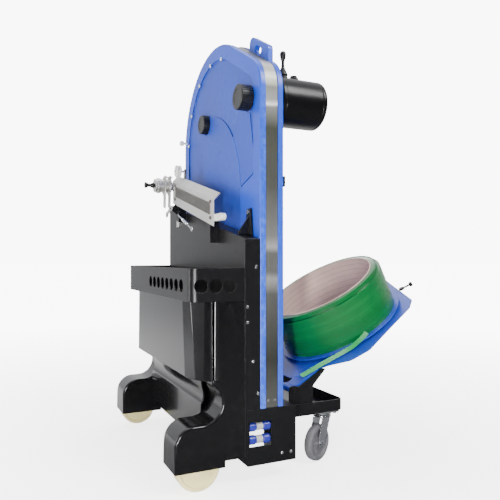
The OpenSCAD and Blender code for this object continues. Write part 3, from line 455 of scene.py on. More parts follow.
def surface(name, colour, rough, metal=0.0, tone=(0.12, 5.0), wear=None, dust=0.1, scuffs=0.25,
            grain=(800.0, 0.3, 0.03), brush=None, coat=0.0, coat_rough=0.1, specular=0.5):
    """A finish: colour with tone, rubbed edges and dust, roughness with scuffs, and a grain."""
    material = bpy.data.materials.new(name)
    material.use_nodes = True
    tree = material.node_tree
    shader = tree.nodes["Principled BSDF"]
    add = maker(tree)
    shader.inputs["Metallic"].default_value = metal
    shader.inputs["Specular IOR Level"].default_value = specular
    shader.inputs["Coat Weight"].default_value = coat
    shader.inputs["Coat Roughness"].default_value = coat_rough
    shade = place_group(add, "tone", Colour=(*colour, 1), Depth=tone[0], Size=tone[1])
    look = shade.outputs["Colour"]
    level = ranged(add, shade.outputs["Mask"], 0.0, 1.0, rough * 0.96, rough * 1.05)
    if wear:
        rub = place_group(add, "wear", Amount=wear[0]).outputs[0]
        look = mixed(add, tree, rub, look, wear[1])
    if scuffs:
        line = place_group(add, "scuffs", Amount=scuffs).outputs[0]
        level = maths(add, "MULTIPLY_ADD", line, 0.3, level)
    if dust:
        lay = place_group(add, "dust", Amount=dust).outputs[0]
        look = mixed(add, tree, lay, look, DUST)
        level = maths(add, "MULTIPLY_ADD", lay, 0.5, level)
    if brush:
        height = place_group(add, "brushing", Stretch=brush).outputs[0]
        level = maths(add, "MULTIPLY_ADD", height, 0.25, level)
    else:
        height = place_group(add, "grain", Size=grain[0], Waviness=grain[1]).outputs[0]
    bump = add("Bump", Height=height, Strength=grain[2] * 10, Distance=0.0002)
    feed(tree, shader, Base_Color=look, Roughness=level, Normal=bump.outputs[0])
    FINISHES[name] = material
    return tree, add, shader, look


EFFECTS = {}


def make_finishes():
    """Every finish of the machine."""
    EFFECTS.update(tone=effect_tone(), wear=effect_wear(), dust=effect_dust(),
                   scuffs=effect_scuffs(), grain=effect_grain(), brushing=effect_brushing())
    props = bpy.context.scene.strapping_finish
    blue, black, green = tuple(props.blue), tuple(props.black), tuple(props.green)
    surface("Blue moulding", blue, 0.34, wear=(0.3, (0.12, 0.28, 0.85)), dust=0.02, specular=0.4,
            tone=(0.14, 4.0), grain=(900.0, 1.5, 0.04), scuffs=0.2)
    # painted shade: a darker copy of the blue for the creases round the recess and the cover's sides
    surface("Blue painted crease shade", tuple(c * 0.3 for c in blue), 0.5, dust=0.0, specular=0.2)
    # painted shade: a darker, greyer copy of the blue for the recessed faces and the cover in the recess; its
    # coarser grain is the moulding's own
    surface("Blue painted recess shade", tuple(c * 0.8 + 0.004 for c in blue), 0.42, specular=0.4,
            wear=(0.2, (0.12, 0.25, 0.7)), dust=0.02, tone=(0.22, 2.2), grain=(900.0, 2.5, 0.06), scuffs=0.2)
    surface("Blue tray", tuple(c * 0.8 for c in blue), 0.3, wear=(0.3, (0.2, 0.32, 0.8)), dust=0.04,
            grain=(1100.0, 1.0, 0.03), scuffs=0.3)
    surface("Black powder coat", black, 0.34, wear=(0.12, (0.04, 0.04, 0.045)), dust=0.02,
            tone=(0.3, 3.0), grain=(1500.0, 0.6, 0.03), scuffs=0.15, specular=0.3)
    surface("Black polished moulding", tuple(c * 0.7 for c in black), 0.16, wear=(0.15, (0.05, 0.05, 0.055)),
            dust=0.012, tone=(0.3, 3.0), grain=(300.0, 0.4, 0.008), scuffs=0.06, coat=0.22, coat_rough=0.05,
            specular=0.25)
    surface("Motor enamel", tuple(c * 0.5 for c in black), 0.3, wear=(0.2, (0.03, 0.03, 0.03)), dust=0.004,
            grain=(1400.0, 0.3, 0.006), scuffs=0.06, specular=0.25)
    surface("Black grip plastic", (0.0055, 0.0055, 0.006), 0.42, wear=(0.4, (0.03, 0.03, 0.03)), dust=0.04,
            grain=(2200.0, 0.2, 0.09), scuffs=0.2, specular=0.4)
    surface("Grey knob face", (0.022, 0.022, 0.023), 0.5, dust=0.0, grain=(1600.0, 0.4, 0.08),
            tone=(0.3, 40.0))
    surface("White plastic", (0.78, 0.78, 0.75), 0.32, wear=(0.2, (0.9, 0.9, 0.88)), dust=0.08,
            grain=(1200.0, 0.4, 0.03))
    surface("Clear plastic", (0.72, 0.74, 0.74), 0.12, dust=0.0, scuffs=0.1, grain=(400.0, 0.5, 0.01),
            coat=0.5)
    surface("Cream nylon", (0.80, 0.70, 0.34), 0.42, wear=(0.3, (0.85, 0.8, 0.55)), dust=0.1,
            tone=(0.28, 18.0), grain=(900.0, 1.0, 0.05), scuffs=0.5)
    surface("Grey tyre", (0.10, 0.10, 0.108), 0.55, wear=(0.3, (0.2, 0.2, 0.2)), dust=0.12,
            tone=(0.3, 20.0), grain=(2600.0, 0.4, 0.12), scuffs=0.5)
    surface("Zinc plating", (0.62, 0.63, 0.65), 0.24, metal=1.0, wear=(0.4, (0.8, 0.8, 0.82)), dust=0.05,
            tone=(0.25, 26.0), grain=(500.0, 1.0, 0.03), scuffs=0.4)
    surface("Holder stainless", (0.66, 0.65, 0.63), 0.34, metal=1.0, wear=(0.4, (0.85, 0.85, 0.84)),
            dust=0.04, tone=(0.2, 9.0), brush=(260.0, 3.0, 260.0), grain=(500.0, 0.5, 0.04))
    surface("Machined steel", (0.42, 0.42, 0.43), 0.36, metal=1.0, dust=0.06, tone=(0.25, 20.0),
            grain=(900.0, 0.5, 0.05))
    surface("Oiled steel", (0.11, 0.11, 0.115), 0.36, metal=1.0, dust=0.0, tone=(0.4, 14.0),
            grain=(900.0, 0.6, 0.06))
    surface("Bronze", (0.52, 0.33, 0.14), 0.34, metal=1.0, dust=0.0, grain=(700.0, 0.5, 0.04))
    surface("Cast case", (0.5, 0.51, 0.52), 0.5, metal=0.9, dust=0.1, grain=(1800.0, 0.4, 0.1))
    surface("Roller blue", (0.014, 0.018, 0.24), 0.3, wear=(0.2, (0.1, 0.11, 0.4)), dust=0.0)
    surface("Roller waist", (0.36, 0.36, 0.35), 0.3, dust=0.0, grain=(900.0, 0.5, 0.03))
    surface("Ribbed pad", (0.075, 0.07, 0.064), 0.62, wear=(0.5, (0.16, 0.155, 0.15)), dust=0.12,
            tone=(0.35, 30.0), grain=(3000.0, 0.3, 0.15))
    # painted light: a lighter copy of the strap green for its loose end
    surface("Green strap painted lit end", tuple(c * 1.7 for c in green), 0.36, dust=0.0, scuffs=0.0, specular=0.3,
            tone=(0.3, 14.0), grain=(1800.0, 0.4, 0.05))
    make_band_finish()
    make_strap_finish(green)
    make_core_finish()


def make_band_finish():
    """Stainless band: lengthways brushing, with painted reflections: fixed light and dark bands painted into
    its colour up its height.
    """
    tree, add, shader, _ = surface(
        "Stainless band", (0.30, 0.31, 0.28), 0.3, metal=1.0, dust=0.0, scuffs=0.1, tone=(0.1, 10.0),
        brush=(200.0, 3.0, 1.2), grain=(500.0, 0.5, 0.008))
    height = add("SeparateXYZ", Vector=here(add)).outputs["Z"]
    wavy = maths(add, "MULTIPLY_ADD", noise(add, here(add), 9.0), 0.03, height)
    ramp = add("ValToRGB", Fac=ranged(add, wavy, 0.215, 1.515))
    # painted reflections: the light stops are painted highlights and the dark stops painted dark reflections,
    # set by height along the band
    foot, painted_dark_reflection, painted_highlight = (0.13, 0.135, 0.11), (0.075, 0.08, 0.06), (1.0, 1.0, 0.98)
    painted_reflection_stops = [(0.0, 0.25), (0.14, 0.05), (0.30, 0.25), (0.335, 0.95), (0.35, 0.35), (0.395, 0.3),
                 (0.41, 1.0), (0.44, 0.45), (0.56, 0.1), (0.70, 0.0), (0.755, 0.2), (0.762, 1.0),
                 (0.772, 0.3), (0.82, 0.05), (0.86, 0.5), (0.9, 0.1)]
    stops = ramp.color_ramp.elements
    for spare in list(stops)[1:]:
        stops.remove(spare)
    for place, share in painted_reflection_stops:
        stops.new(place).color = (*[a + (b - a) * share for a, b in zip(painted_dark_reflection, painted_highlight)], 1)
    stops[0].color = (*foot, 1)
    lines = place_group(add, "brushing", Stretch=(500.0, 8.0, 1.5)).outputs[0]
    mask = ranged(add, lines, 0.35, 0.75, 0.0, 0.08)
    feed(tree, shader, Base_Color=mixed(add, tree, mask, ramp.outputs[0], (0.55, 0.56, 0.53)))


def coil_place(add):
    """Object coordinates turned into the coil's own frame, its axis along Z."""
    return add("Mapping", {"vector_type": "TEXTURE"}, Vector=here(add), Location=tuple(on_tray(*COIL_SEAT)),
               Rotation=(0.0, -TILT, 0.0)).outputs[0]


def make_strap_finish(green):
    """Embossed polyester strap: deep green under a hard gloss, with the edges of its turns."""
    tree, add, shader, look = surface(
        "Green strap", green, 0.2, dust=0.0, scuffs=0.0, tone=(0.35, 7.0), grain=(700.0, 2.0, 0.02),
        specular=0.6)
    own = coil_place(add)
    parts = add("SeparateXYZ", Vector=own)
    flat = add("CombineXYZ", X=parts.outputs["X"], Y=parts.outputs["Y"]).outputs[0]
    out, up = add("VectorMath", {"operation": "LENGTH"}, i0=flat).outputs["Value"], parts.outputs["Z"]
    turns = maths(add, "MULTIPLY", strands(add, out, 900.0), strands(add, up, 260.0, 3.0))
    deep = mixed(add, tree, ranged(add, turns, 0.12, 0.42), tuple(c * 0.72 for c in green), look)
    emboss = add("TexVoronoi", {"feature": "F1"}, Vector=own, Scale=420.0).outputs["Distance"]
    low = add("Bump", Height=strands(add, up, 2600.0, 1.0), Strength=0.55, Distance=0.0003)
    high = add("Bump", Height=emboss, Strength=0.12, Distance=0.0002, Normal=low.outputs[0])
    feed(tree, shader, Base_Color=deep, Roughness=maths(add, "MULTIPLY_ADD", turns, 0.08, 0.2),
         Normal=high.outputs[0])


def make_core_finish():
    """Wound paper core: pinkish brown, with slanted seams and fibres."""
    tree, add, shader, look = surface(
        "Paper core", (0.60, 0.42, 0.33), 0.75, dust=0.05, tone=(0.3, 9.0), grain=(1500.0, 1.0, 0.12),
        scuffs=0.2)
    own = coil_place(add)
    seam = add("Mapping", Vector=own, Rotation=(0.0, 0.0, 0.6), Scale=(3.0, 3.0, 9.0))
    wave = add("TexWave", {"wave_type": "BANDS", "bands_direction": "Z"}, Vector=seam.outputs[0],
               Scale=1.6, Distortion=1.5, Detail=2.0)
    fibre = ranged(add, noise(add, own, 380.0, 5.0, 0.8), 0.5, 0.8, 0.0, 0.45)
    pale = mixed(add, tree, fibre, look, (0.55, 0.42, 0.35))
    line = ranged(add, wave.outputs["Fac"], 0.93, 1.0, 0.0, 0.5)
    feed(tree, shader, Base_Color=mixed(add, tree, line, pale, (0.26, 0.17, 0.13)))


# ---------- what a user can change ----------

JOINTS = {joint["name"]: joint for joint in frame["joints"]}


class StrappingFinish(bpy.types.PropertyGroup):
    """Colours of the machine."""

    blue: bpy.props.FloatVectorProperty(
        name="Blue", description="Colour of the magazine and the coil tray", subtype="COLOR",
        min=0, max=1, default=(0.014, 0.062, 0.50))
    black: bpy.props.FloatVectorProperty(
        name="Black", description="Colour of the powder-coated and moulded black parts", subtype="COLOR",
        min=0, max=1, default=(0.0045, 0.0045, 0.0052))
    green: bpy.props.FloatVectorProperty(
        name="Strap green", description="Colour of the strap", subtype="COLOR",
        min=0, max=1, default=(0.0012, 0.135, 0.03))


class StrappingMagazine(bpy.types.PropertyGroup):
    """Sizes of the magazine's finish."""

    rim_round: bpy.props.FloatProperty(
        name="Rim rounding", description="Radius on the outer edges of the two plates", unit="LENGTH",
        default=0.005, min=0.001, max=0.008)
    step_round: bpy.props.FloatProperty(
        name="Step rounding", description="Radius on the step round the recess", unit="LENGTH",
        default=0.0022, min=0.0005, max=0.0028)
    flutes: bpy.props.IntProperty(
        name="Knob flutes", description="Flutes round the hand knobs", default=30, min=12, max=48)


class StrappingCoil(bpy.types.PropertyGroup):
    """Sizes of the strap coil."""

    hinge: bpy.props.FloatVectorProperty(
        name="Tray hinge", description="Middle of the coil tray's hinge", subtype="TRANSLATION",
        unit="LENGTH", default=JOINTS["coil_tray_tilt"]["pos_m"])
    width: bpy.props.FloatProperty(
        name="Coil width", description="Height of the wound strap", unit="LENGTH",
        default=0.165, min=0.1, max=0.19)
    core_bore: bpy.props.FloatProperty(
        name="Core bore", description="Inner radius of the paper core", unit="LENGTH",
        default=0.203, min=0.1, max=0.21)
    core_wall: bpy.props.FloatProperty(
        name="Core wall", description="Thickness of the paper core", unit="LENGTH",
        default=0.005, min=0.003, max=0.008)
    turns: bpy.props.IntProperty(
        name="Turns across", description="Rows of strap across the coil", default=11, min=6, max=14)


class StrappingStudio(bpy.types.PropertyGroup):
    """The stage."""

    floor: bpy.props.FloatVectorProperty(
        name="Floor", description="Colour of the floor", subtype="COLOR",
        min=0, max=1, default=(0.92, 0.92, 0.92))
    lens: bpy.props.FloatProperty(
        name="Lens", description="Focal length of the camera", unit="CAMERA", default=39.67, min=20, max=90)
    level: bpy.props.FloatProperty(
        name="Light level", description="How strong the studio's lights are", default=1.0, min=0.1, max=3)


# ---------- outlines ----------


def arc(centre, radius, start, end, count=12):
    """Points of an arc in millimetres, angles in degrees."""
    return [(centre[0] + radius * math.cos(math.radians(start + (end - start) * i / count)),
             centre[1] + radius * math.sin(math.radians(start + (end - start) * i / count)))
            for i in range(count + 1)]


def in_metres(points):
    return [(x / 1000, y / 1000) for x, y in points]


def side_view(y):
    """Matrix that stands an XY outline in XZ, extruded towards +Y from y."""
    return Matrix(((1, 0, 0, 0), (0, 0, 1, y), (0, 1, 0, 0), (0, 0, 0, 1)))


def end_view(x):
    """Matrix that stands an XY outline in YZ, extruded towards +X from x."""
    return Matrix(((0, 0, 1, x), (1, 0, 0, 0), (0, 1, 0, 0), (0, 0, 0, 1)))


def cut(piece, tool, operation="DIFFERENCE"):
    """Boolean with another mesh, which is then removed."""
    modify(piece, "BOOLEAN", object=tool, operation=operation, solver="EXACT")
    bpy.data.objects.remove(tool)
    return piece


def paint(piece, finish, where):
    """A second finish on the faces whose centre and normal pass the test."""
    piece.data.materials.append(FINISHES[finish])
    index = len(piece.data.materials) - 1
    for face in piece.data.polygons:
        if where(face.center, face.normal):
            face.material_index = index
    return piece


# ---------- the pieces ----------


class SM_OT_studio(bpy.types.Operator):
    """Floor, soft lights and the camera"""

    bl_idname = "strapping.studio"
    bl_label = "Studio"

    def execute(self, context):
        props = context.scene.strapping_studio
        clear()
        bpy.ops.mesh.primitive_circle_add(vertices=96, radius=60, fill_type="NGON", location=(0, 0, -0.0005))
        floor = named("studio_floor")
        material = bpy.data.materials.new("Studio floor")
        material.use_nodes = True
        tree = material.node_tree
        add = maker(tree)
        shade = place_group(add, "tone", Colour=(*props.floor, 1), Depth=0.015, Size=1.5)
        shader = tree.nodes["Principled BSDF"]
        shader.inputs["Roughness"].default_value = 0.75
        shader.inputs["Specular IOR Level"].default_value = 0.1
        shader.inputs["Emission Color"].default_value = (1, 1, 1, 1)
        rays, place = add("LightPath"), here(add)
        # painted dark reflection: seen in glossy rays the floor in front is near black
        front = ranged(add, add("SeparateXYZ", Vector=place).outputs["Y"], -0.4, 1.2, 0.85, 0.0)
        dim = maths(add, "MULTIPLY", front, rays.outputs["Is Glossy Ray"])
        # painted glow: seen by the camera the floor glows, more with distance from the machine
        away = add("VectorMath", {"operation": "LENGTH"}, i0=place).outputs["Value"]
        painted_floor_glow = maths(add, "MULTIPLY", ranged(add, away, 0.6, 4.0, 3.2, 8.5), rays.outputs["Is Camera Ray"])
        feed(tree, shader, Base_Color=mixed(add, tree, dim, shade.outputs["Colour"], (0.02, 0.02, 0.02)),
             Emission_Strength=painted_floor_glow)
        floor.data.materials.append(material)
        self.light_world(context.scene, props.level)
        for name, place, target, size, power in (
                ("key", (1.1, -2.4, 3.4), (-0.1, -0.1, 0.8), (1.4, 1.4), 150),
                ("fill", (-3.7, 1.0, 1.1), (-0.2, 0, 0.7), (0.6, 2.0), 70),
                ("top", (-0.4, 0.6, 4.0), (0, 0, 0.6), (2.4, 2.4), 60),
                ("strip", (-1.45, -2.0, 0.35), (0.05, -0.3, 0.5), (0.14, 0.9), 75),
                ("back", (2.6, 2.8, 2.2), (0, 0, 0.8), (1.6, 1.6), 40)):
            clear()
            bpy.ops.object.light_add(type="AREA", location=place)
            light = bpy.context.view_layer.objects.active
            light.name = name + "_light"
            light.rotation_euler = (Vector(target) - Vector(place)).to_track_quat("-Z", "Y").to_euler()
            light.data.shape = "RECTANGLE"
            light.data.size, light.data.size_y = size
            light.data.energy = power * props.level
        clear()
        bpy.ops.object.camera_add(location=(-0.994, -1.938, 0.700),
                                  rotation=(math.radians(90), 0, math.radians(-25)))
        camera = bpy.context.view_layer.objects.active
        camera.data.lens, camera.data.sensor_width = props.lens, 36
        camera.data.shift_y = 0.016
        camera.data.clip_end = 200
        context.scene.camera = camera
        return {"FINISHED"}

    def light_world(self, scene, strength):
        """Soft light from above and behind, dark in front, and a plain pale backdrop."""
        world = scene.world or bpy.data.worlds.new("Studio")
        scene.world = world
        world.use_nodes = True
        tree = world.node_tree
        add = maker(tree)
        sweep = add("VectorMath", {"operation": "DOT_PRODUCT"}, i0=add("TexCoord").outputs["Generated"],
                    i1=(0.05, 0.62, 0.78)).outputs["Value"]
        level = ranged(add, sweep, -0.35, 1.0, 0.05, 1.3, "SMOOTHSTEP")
        back = tree.nodes["Background"]
        back.inputs["Color"].default_value = (0.97, 0.985, 1.0, 1)
        feed(tree, back, Strength=maths(add, "MULTIPLY", level, strength))
        plain = add("Background", Color=(1, 1, 1, 1), Strength=9.0)
        both = add("MixShader", i0=add("LightPath").outputs["Is Camera Ray"], i1=back.outputs[0],
                   i2=plain.outputs[0])
        feed(tree, tree.nodes["World Output"], Surface=both.outputs[0])


# The magazine's outline seen along X, in millimetres: (Y, Z) centres, radii, edges and recess border
SHOULDER, SHOULDER_R = (-271.5, 1240.6), 120
ARCH, ARCH_R = (11.5, 1150), 340
NEAR, FAR, FOOT = -391.5, 351.5, 228
BORDER = 52
SLOPE, SLOPE_Z = math.radians(30), 1309.9
EAR_NEAR, EAR_FAR, EAR_H = -320.5, -174.5, 50


def slope(y):
    """Height of the sloping top edge."""
    return SLOPE_Z + (y - NEAR) * math.tan(SLOPE)


def over_the_top(inset, ear=False):
    """The outline over its shoulder and arch, moved inwards; the ear stands on the slope."""
    path = arc(SHOULDER, SHOULDER_R - inset, 180, 120, 24)
    if ear:
        near, far = slope(EAR_NEAR), slope(EAR_FAR)
        corners = [(EAR_NEAR, near - 40, 0), (EAR_NEAR, near + EAR_H, 20), (EAR_FAR, far + EAR_H, 20),
                   (EAR_FAR, far - 40, 0)]
        path += [(EAR_NEAR, near)] + softened(corners)[1:-1] + [(EAR_FAR, far)]
    return path + arc(ARCH, ARCH_R - inset, 120, 0, 96)


def plate(name, x, thickness, ear=False):
    """One whole plate of the magazine, from x towards +X."""
    outline = [(NEAR, FOOT)] + over_the_top(0, ear) + [(FAR, FOOT)]
    return outwards(traced(name, in_metres(outline), thickness, matrix=end_view(x)))


def softened(corners, count=10):
    """An outline whose corners (x, y, radius) are rounded."""
    path = []
    for i, (x, y, radius) in enumerate(corners):
        b = Vector((x, y))
        if not radius:
            path.append((x, y))
            continue
        a, c = Vector(corners[i - 1][:2]), Vector(corners[(i + 1) % len(corners)][:2])
        u, v = (a - b).normalized(), (c - b).normalized()
        half = math.acos(max(-1, min(1, u.dot(v)))) / 2
        centre = b + (u + v).normalized() * radius / math.sin(half)
        p, q = b + u * radius / math.tan(half) - centre, b + v * radius / math.tan(half) - centre
        start, sweep = math.atan2(p.y, p.x), math.atan2(q.y, q.x) - math.atan2(p.y, p.x)
        sweep = sweep - 2 * math.pi if sweep > math.pi else sweep + 2 * math.pi if sweep < -math.pi else sweep
        path += [(centre.x + radius * math.cos(start + sweep * k / count),
                  centre.y + radius * math.sin(start + sweep * k / count)) for k in range(count + 1)]
    return path


def bore(piece, y, z, radius, x0, x1):
    """A round hole along X."""
    tool = turned("bore", [(radius, 0), (radius, x1 - x0)], (x0, y, z), (1, 0, 0), 48)
    return cut(piece, tool)


class SM_OT_magazine(bpy.types.Operator):
    """The two blue plates, the moulded cover between them, the band and the clips"""

    bl_idname = "strapping.magazine"
    bl_label = "Magazine"

    def execute(self, context):
        props = context.scene.strapping_magazine
        drive, idler = JOINTS["drive_spin"]["pos_m"], JOINTS["idler_spin"]["pos_m"]
        left = plate("plate_left", -0.238, 0.020)
        self.round_rim(left, -0.238, props.rim_round)
        recess = [(-236.5, FOOT + BORDER), (-236.5, 930), (-242, 937.5), (-318, 961.5), (-330, 963.6),
                  (-339.5, 972), (NEAR + BORDER, SHOULDER[1])]
        recess += arc(SHOULDER, SHOULDER_R - BORDER, 177, 120, 18) + arc(ARCH, ARCH_R - BORDER, 120, 0, 80)
        recess.append((FAR - BORDER, FOOT + BORDER))
        cut(left, outwards(traced("recess", in_metres(recess), 0.010, matrix=end_view(-0.242))))
        for at in (drive, idler):
            bore(left, at[1], at[2], 0.0171, -0.25, -0.21)
        bevelled_where(left, props.step_round, 4, lambda a, b: (
            max(a.x, b.x) < -0.2315 and abs(a.x - b.x) < 1e-5 and not self.at_rim(a) and not self.at_rim(b)
            and math.hypot(a.y - drive[1], a.z - drive[2]) > 0.02
            and math.hypot(a.y - idler[1], a.z - idler[2]) > 0.02))
        ready(smoothed(outwards(left)), "Blue moulding", "frame", "blue_plastic", "magazine_left_plate")
        # painted shade on the recessed face of the left plate
        paint(left, "Blue painted recess shade", lambda c, n: n.x < -0.9 and -0.2335 < c.x < -0.2305)
        # painted shade on the walls of the step round the recess
        paint(left, "Blue painted crease shade", lambda c, n: (
            n.x > -0.35 and -0.2368 < c.x < -0.2318 and not self.at_rim(c)))
        right = plate("plate_right", -0.174, 0.020, ear=True)
        self.round_rim(right, -0.154, props.rim_round)
        self.round_rim(right, -0.174, 0.0012)
        turn = Matrix.Translation((0, -0.2415, 1.4115)) @ Matrix.Rotation(math.radians(30), 4, "X")
        slot = arc((15, 0), 12, -90, 90, 16) + arc((-15, 0), 12, 90, 270, 16)
        cut(right, outwards(traced("slot", in_metres(slot), 0.05, matrix=turn @ end_view(-0.19))))
        bore(right, drive[1], drive[2], 0.0171, -0.18, -0.15)
        rounded(outwards(right), 0.0014, 3, angle=50)
        ready(right, "Blue moulding", "frame", "blue_plastic", "magazine_right_plate")
        # the cover takes the recess's painted shade as its base colour
        cover = restyled("magazine_cover", "cover_moulding", "Blue painted recess shade", "blue_plastic",
                         width=0.0014, segments=3, angle=40)
        # painted shade on the cover's sides that turn away from -X
        paint(cover, "Blue painted crease shade", lambda c, n: n.x > -0.5)
        # painted highlight: the cover's rounded edges take the lighter blue as highlight lines
        paint(cover, "Blue moulding", lambda c, n: -0.98 < n.x < -0.5)
        band = outwards(traced("stainless_band", in_metres(
            [(NEAR + 3, FOOT + 0.2)] + over_the_top(3) + [(FAR - 3, FOOT + 0.2), (FAR - 6, FOOT + 0.2)]
            + over_the_top(6)[::-1] + [(NEAR + 6, FOOT + 0.2)]), 0.0438, matrix=end_view(-0.2179)))
        rounded(band, 0.0004, 1, angle=60)
        ready(band, "Stainless band", "frame", "stainless", "outer_track")
        clips = restyled("cover_clips", "cover_clips_set", "White plastic", "white_plastic", width=0.0007)
        paint(clips, "Clear plastic", lambda c, n: c.y > 0.30 and c.z > 1.15 and c.z < 1.22)
        for i, x in enumerate((-0.208, -0.184)):
            rivet = turned(f"band_rivet_{i}", [
                (0.0042, 0), (0.0042, 0.0006), (0.0034, 0.0014), (0.0012, 0.0018)],
                (x, -0.3885, 0.25), (0, -1, 0), 24)
            ready(smoothed(rivet), "Machined steel", "frame", "stainless")
        guide = block("cord_guide", (-0.154, -0.391, 0.928), (-0.1475, -0.372, 0.962), 0.0018, 3)
        ready(guide, "Black grip plastic", "frame", "black_plastic")
        return {"FINISHED"}

    def at_rim(self, p, zone=12):
        """Whether a point is within the zone along the plates' outer edge."""
        y, z = p.y * 1000, p.z * 1000
        on_arch = z > ARCH[1] and abs(math.hypot(y - ARCH[0], z - ARCH[1]) - ARCH_R) < zone
        on_shoulder = math.hypot(y - SHOULDER[0], z - SHOULDER[1]) > 100 and y < -200 and z > SHOULDER[1]
        on_slope = -345 < y < -150 and (z - slope(y)) * math.cos(SLOPE) > -zone
        return y < NEAR + zone or y > FAR - zone or z < FOOT + zone or on_arch or on_shoulder or on_slope

    def round_rim(self, plate, x, radius):
        bevelled_where(plate, radius, 4, lambda a, b: abs(a.x - x) < 1e-5 and abs(b.x - x) < 1e-5)


def fluted_knob(node, name, body, flutes, face_ring):
    """A round knob with flutes along its side and a shallow dish in its end; it faces -X."""
    low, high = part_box(node)
    r, length = (high.z - low.z) / 2, high.x - low.x
    knob = turned(name, [(0.0082, 0), (r - 0.003, 0), (r - 0.0008, 0.0007), (r, 0.0024), (r, length - 0.004),
                         (r - 0.0008, length - 0.0016), (r - 0.0028, length - 0.0003), (r - 0.0045, length),
                         (face_ring, length), (face_ring - 0.0008, length - 0.0012),
                         (0.004, length - 0.0012)], steps=flutes * 4)
    step = 2 * math.pi / (flutes * 4)
    choose(knob, faces=lambda f: abs(f.normal.z) < 0.01 and f.area > 1e-6 and f.center.length > r * 0.8
           and round(math.atan2(f.center.y, f.center.x) / step - 0.5) % 4 == 0)
    bpy.ops.mesh.inset(thickness=0.0004, depth=-0.0016, use_individual=True)
    clear()
    settled(knob, (high.x, (low.y + high.y) / 2, (low.z + high.z) / 2), (-1, 0, 0))
    smoothed(knob, 38)
    ready(knob, "Black grip plastic", body, "black_plastic", node)
    return paint(knob, "Grey knob face", lambda c, n: n.x < -0.95)


class SM_OT_hand_knobs(bpy.types.Operator):
    """The fluted knobs on the drive and idler shafts"""

    bl_idname = "strapping.hand_knobs"
    bl_label = "Hand knobs"

    def execute(self, context):
        flutes = context.scene.strapping_magazine.flutes
        fluted_knob("drive_knob", "knob_of_drive", "drive", flutes, 0.026)
        fluted_knob("idler_knob", "knob_of_idler", "idler", flutes, 0.022)
        return {"FINISHED"}


class SM_OT_motor(bpy.types.Operator):
    """Motor with its flange and rounded end, the joystick and the power button"""

    bl_idname = "strapping.motor"
    bl_label = "Motor and controls"

    def execute(self, context):
        restyled("motor_flange", "motor_ring", "Motor enamel", "motor_black", width=0.0015, segments=3)
        low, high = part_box("motor_housing")
        r, length = (high.z - low.z) / 2, high.x - low.x
        shell = turned("motor_shell", [
            (0.012, 0), (r - 0.003, 0), (r - 0.0008, 0.0008), (r, 0.0028), (r, 0.010), (r - 0.0006, 0.0108),
            (r - 0.0006, 0.0122), (r, 0.013), (r, length - 0.004), (r - 0.0003, length - 0.001),
            (r - 0.001, length), (0.012, length)], steps=160)
        settled(shell, end_face("motor_housing"), (1, 0, 0))
        ready(smoothed(shell), "Motor enamel", "frame", "motor_black", "motor_housing")
        end = turned("motor_end", [(0.02, 0), (r - 0.001, 0), (r - 0.0003, 0.0008), (r, 0.002)]
                     + [(r - 0.014 + 0.014 * math.cos(a), 0.006 + 0.014 * math.sin(a))
                        for a in (math.radians(9 * i) for i in range(11))]
                     + [(r - 0.024, 0.0200), (r - 0.0252, 0.0188), (r - 0.0285, 0.0188), (r - 0.0297, 0.0199),
                        (0.022, 0.0200), (0.020, 0.0190), (0.003, 0.0190)], steps=160)
        settled(end, end_face("motor_cap"), (1, 0, 0))
        ready(smoothed(end), "Motor enamel", "frame", "motor_black", "motor_cap")
        restyled("joystick_collar", "control_collars", "Black grip plastic", "black_plastic",
                 width=0.001, segments=3)
        lever = turned("joystick", [
            (0.004, -0.0055), (0.006, 0), (0.006, 0.0034), (0.0126, 0.0036), (0.0131, 0.0050),
            (0.0118, 0.0078), (0.0122, 0.0092), (0.0102, 0.0126),
            (0.0105, 0.0141), (0.0082, 0.0182), (0.0084, 0.0197),
            (0.0062, 0.0252), (0.0048, 0.031), (0.0041, 0.037), (0.0038, 0.048), (0.0045, 0.053),
            (0.0060, 0.058), (0.0073, 0.065), (0.0080, 0.072), (0.0079, 0.078), (0.0069, 0.0818),
            (0.0045, 0.0844), (0.0015, 0.085)], steps=48)
        choose(lever, faces=lambda f: True)
        bpy.ops.transform.resize(value=(1.3, 1.3, 1), center_override=(0, 0, 0))
        clear()
        centre, top = middle("joystick_lever"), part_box("joystick_lever")[1].z
        settled(lever, (centre.x, centre.y, top - 0.085))
        ready(smoothed(lever, 60), "Black grip plastic", "joystick", "black_plastic", "joystick_lever")
        button = turned("power_push", [
            (0.0118, 0), (0.0123, 0.0006), (0.0123, 0.0068), (0.0119, 0.0084), (0.0104, 0.0097),
            (0.0085, 0.0098), (0.0078, 0.0092), (0.002, 0.0089)])
        centre, foot = middle("power_button"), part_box("power_button")[0].z
        settled(button, (centre.x, centre.y, foot))
        ready(smoothed(button), "Black grip plastic", "power_button", "black_plastic", "power_button")
        return {"FINISHED"}


class SM_OT_column(bpy.types.Operator):
    """The folded column, its brace and screws, and the tool tray"""

    bl_idname = "strapping.column"
    bl_label = "Column and tool tray"

    def execute(self, context):
        for node, name, width in (("column_panel", "column_sheet", 0.0013),
                                  ("magazine_brace", "column_brace", 0.001),
                                  ("tool_tray", "tool_tray_sheet", 0.0009)):
            restyled(node, name, "Black powder coat", "black_paint", width=width, segments=3, angle=40)
        for node, name in (("panel_screws", "pan_screws"), ("hex_bolts", "hexagon_bolts")):
            restyled(node, name, "Zinc plating", "zinc", width=0.0006)
        return {"FINISHED"}


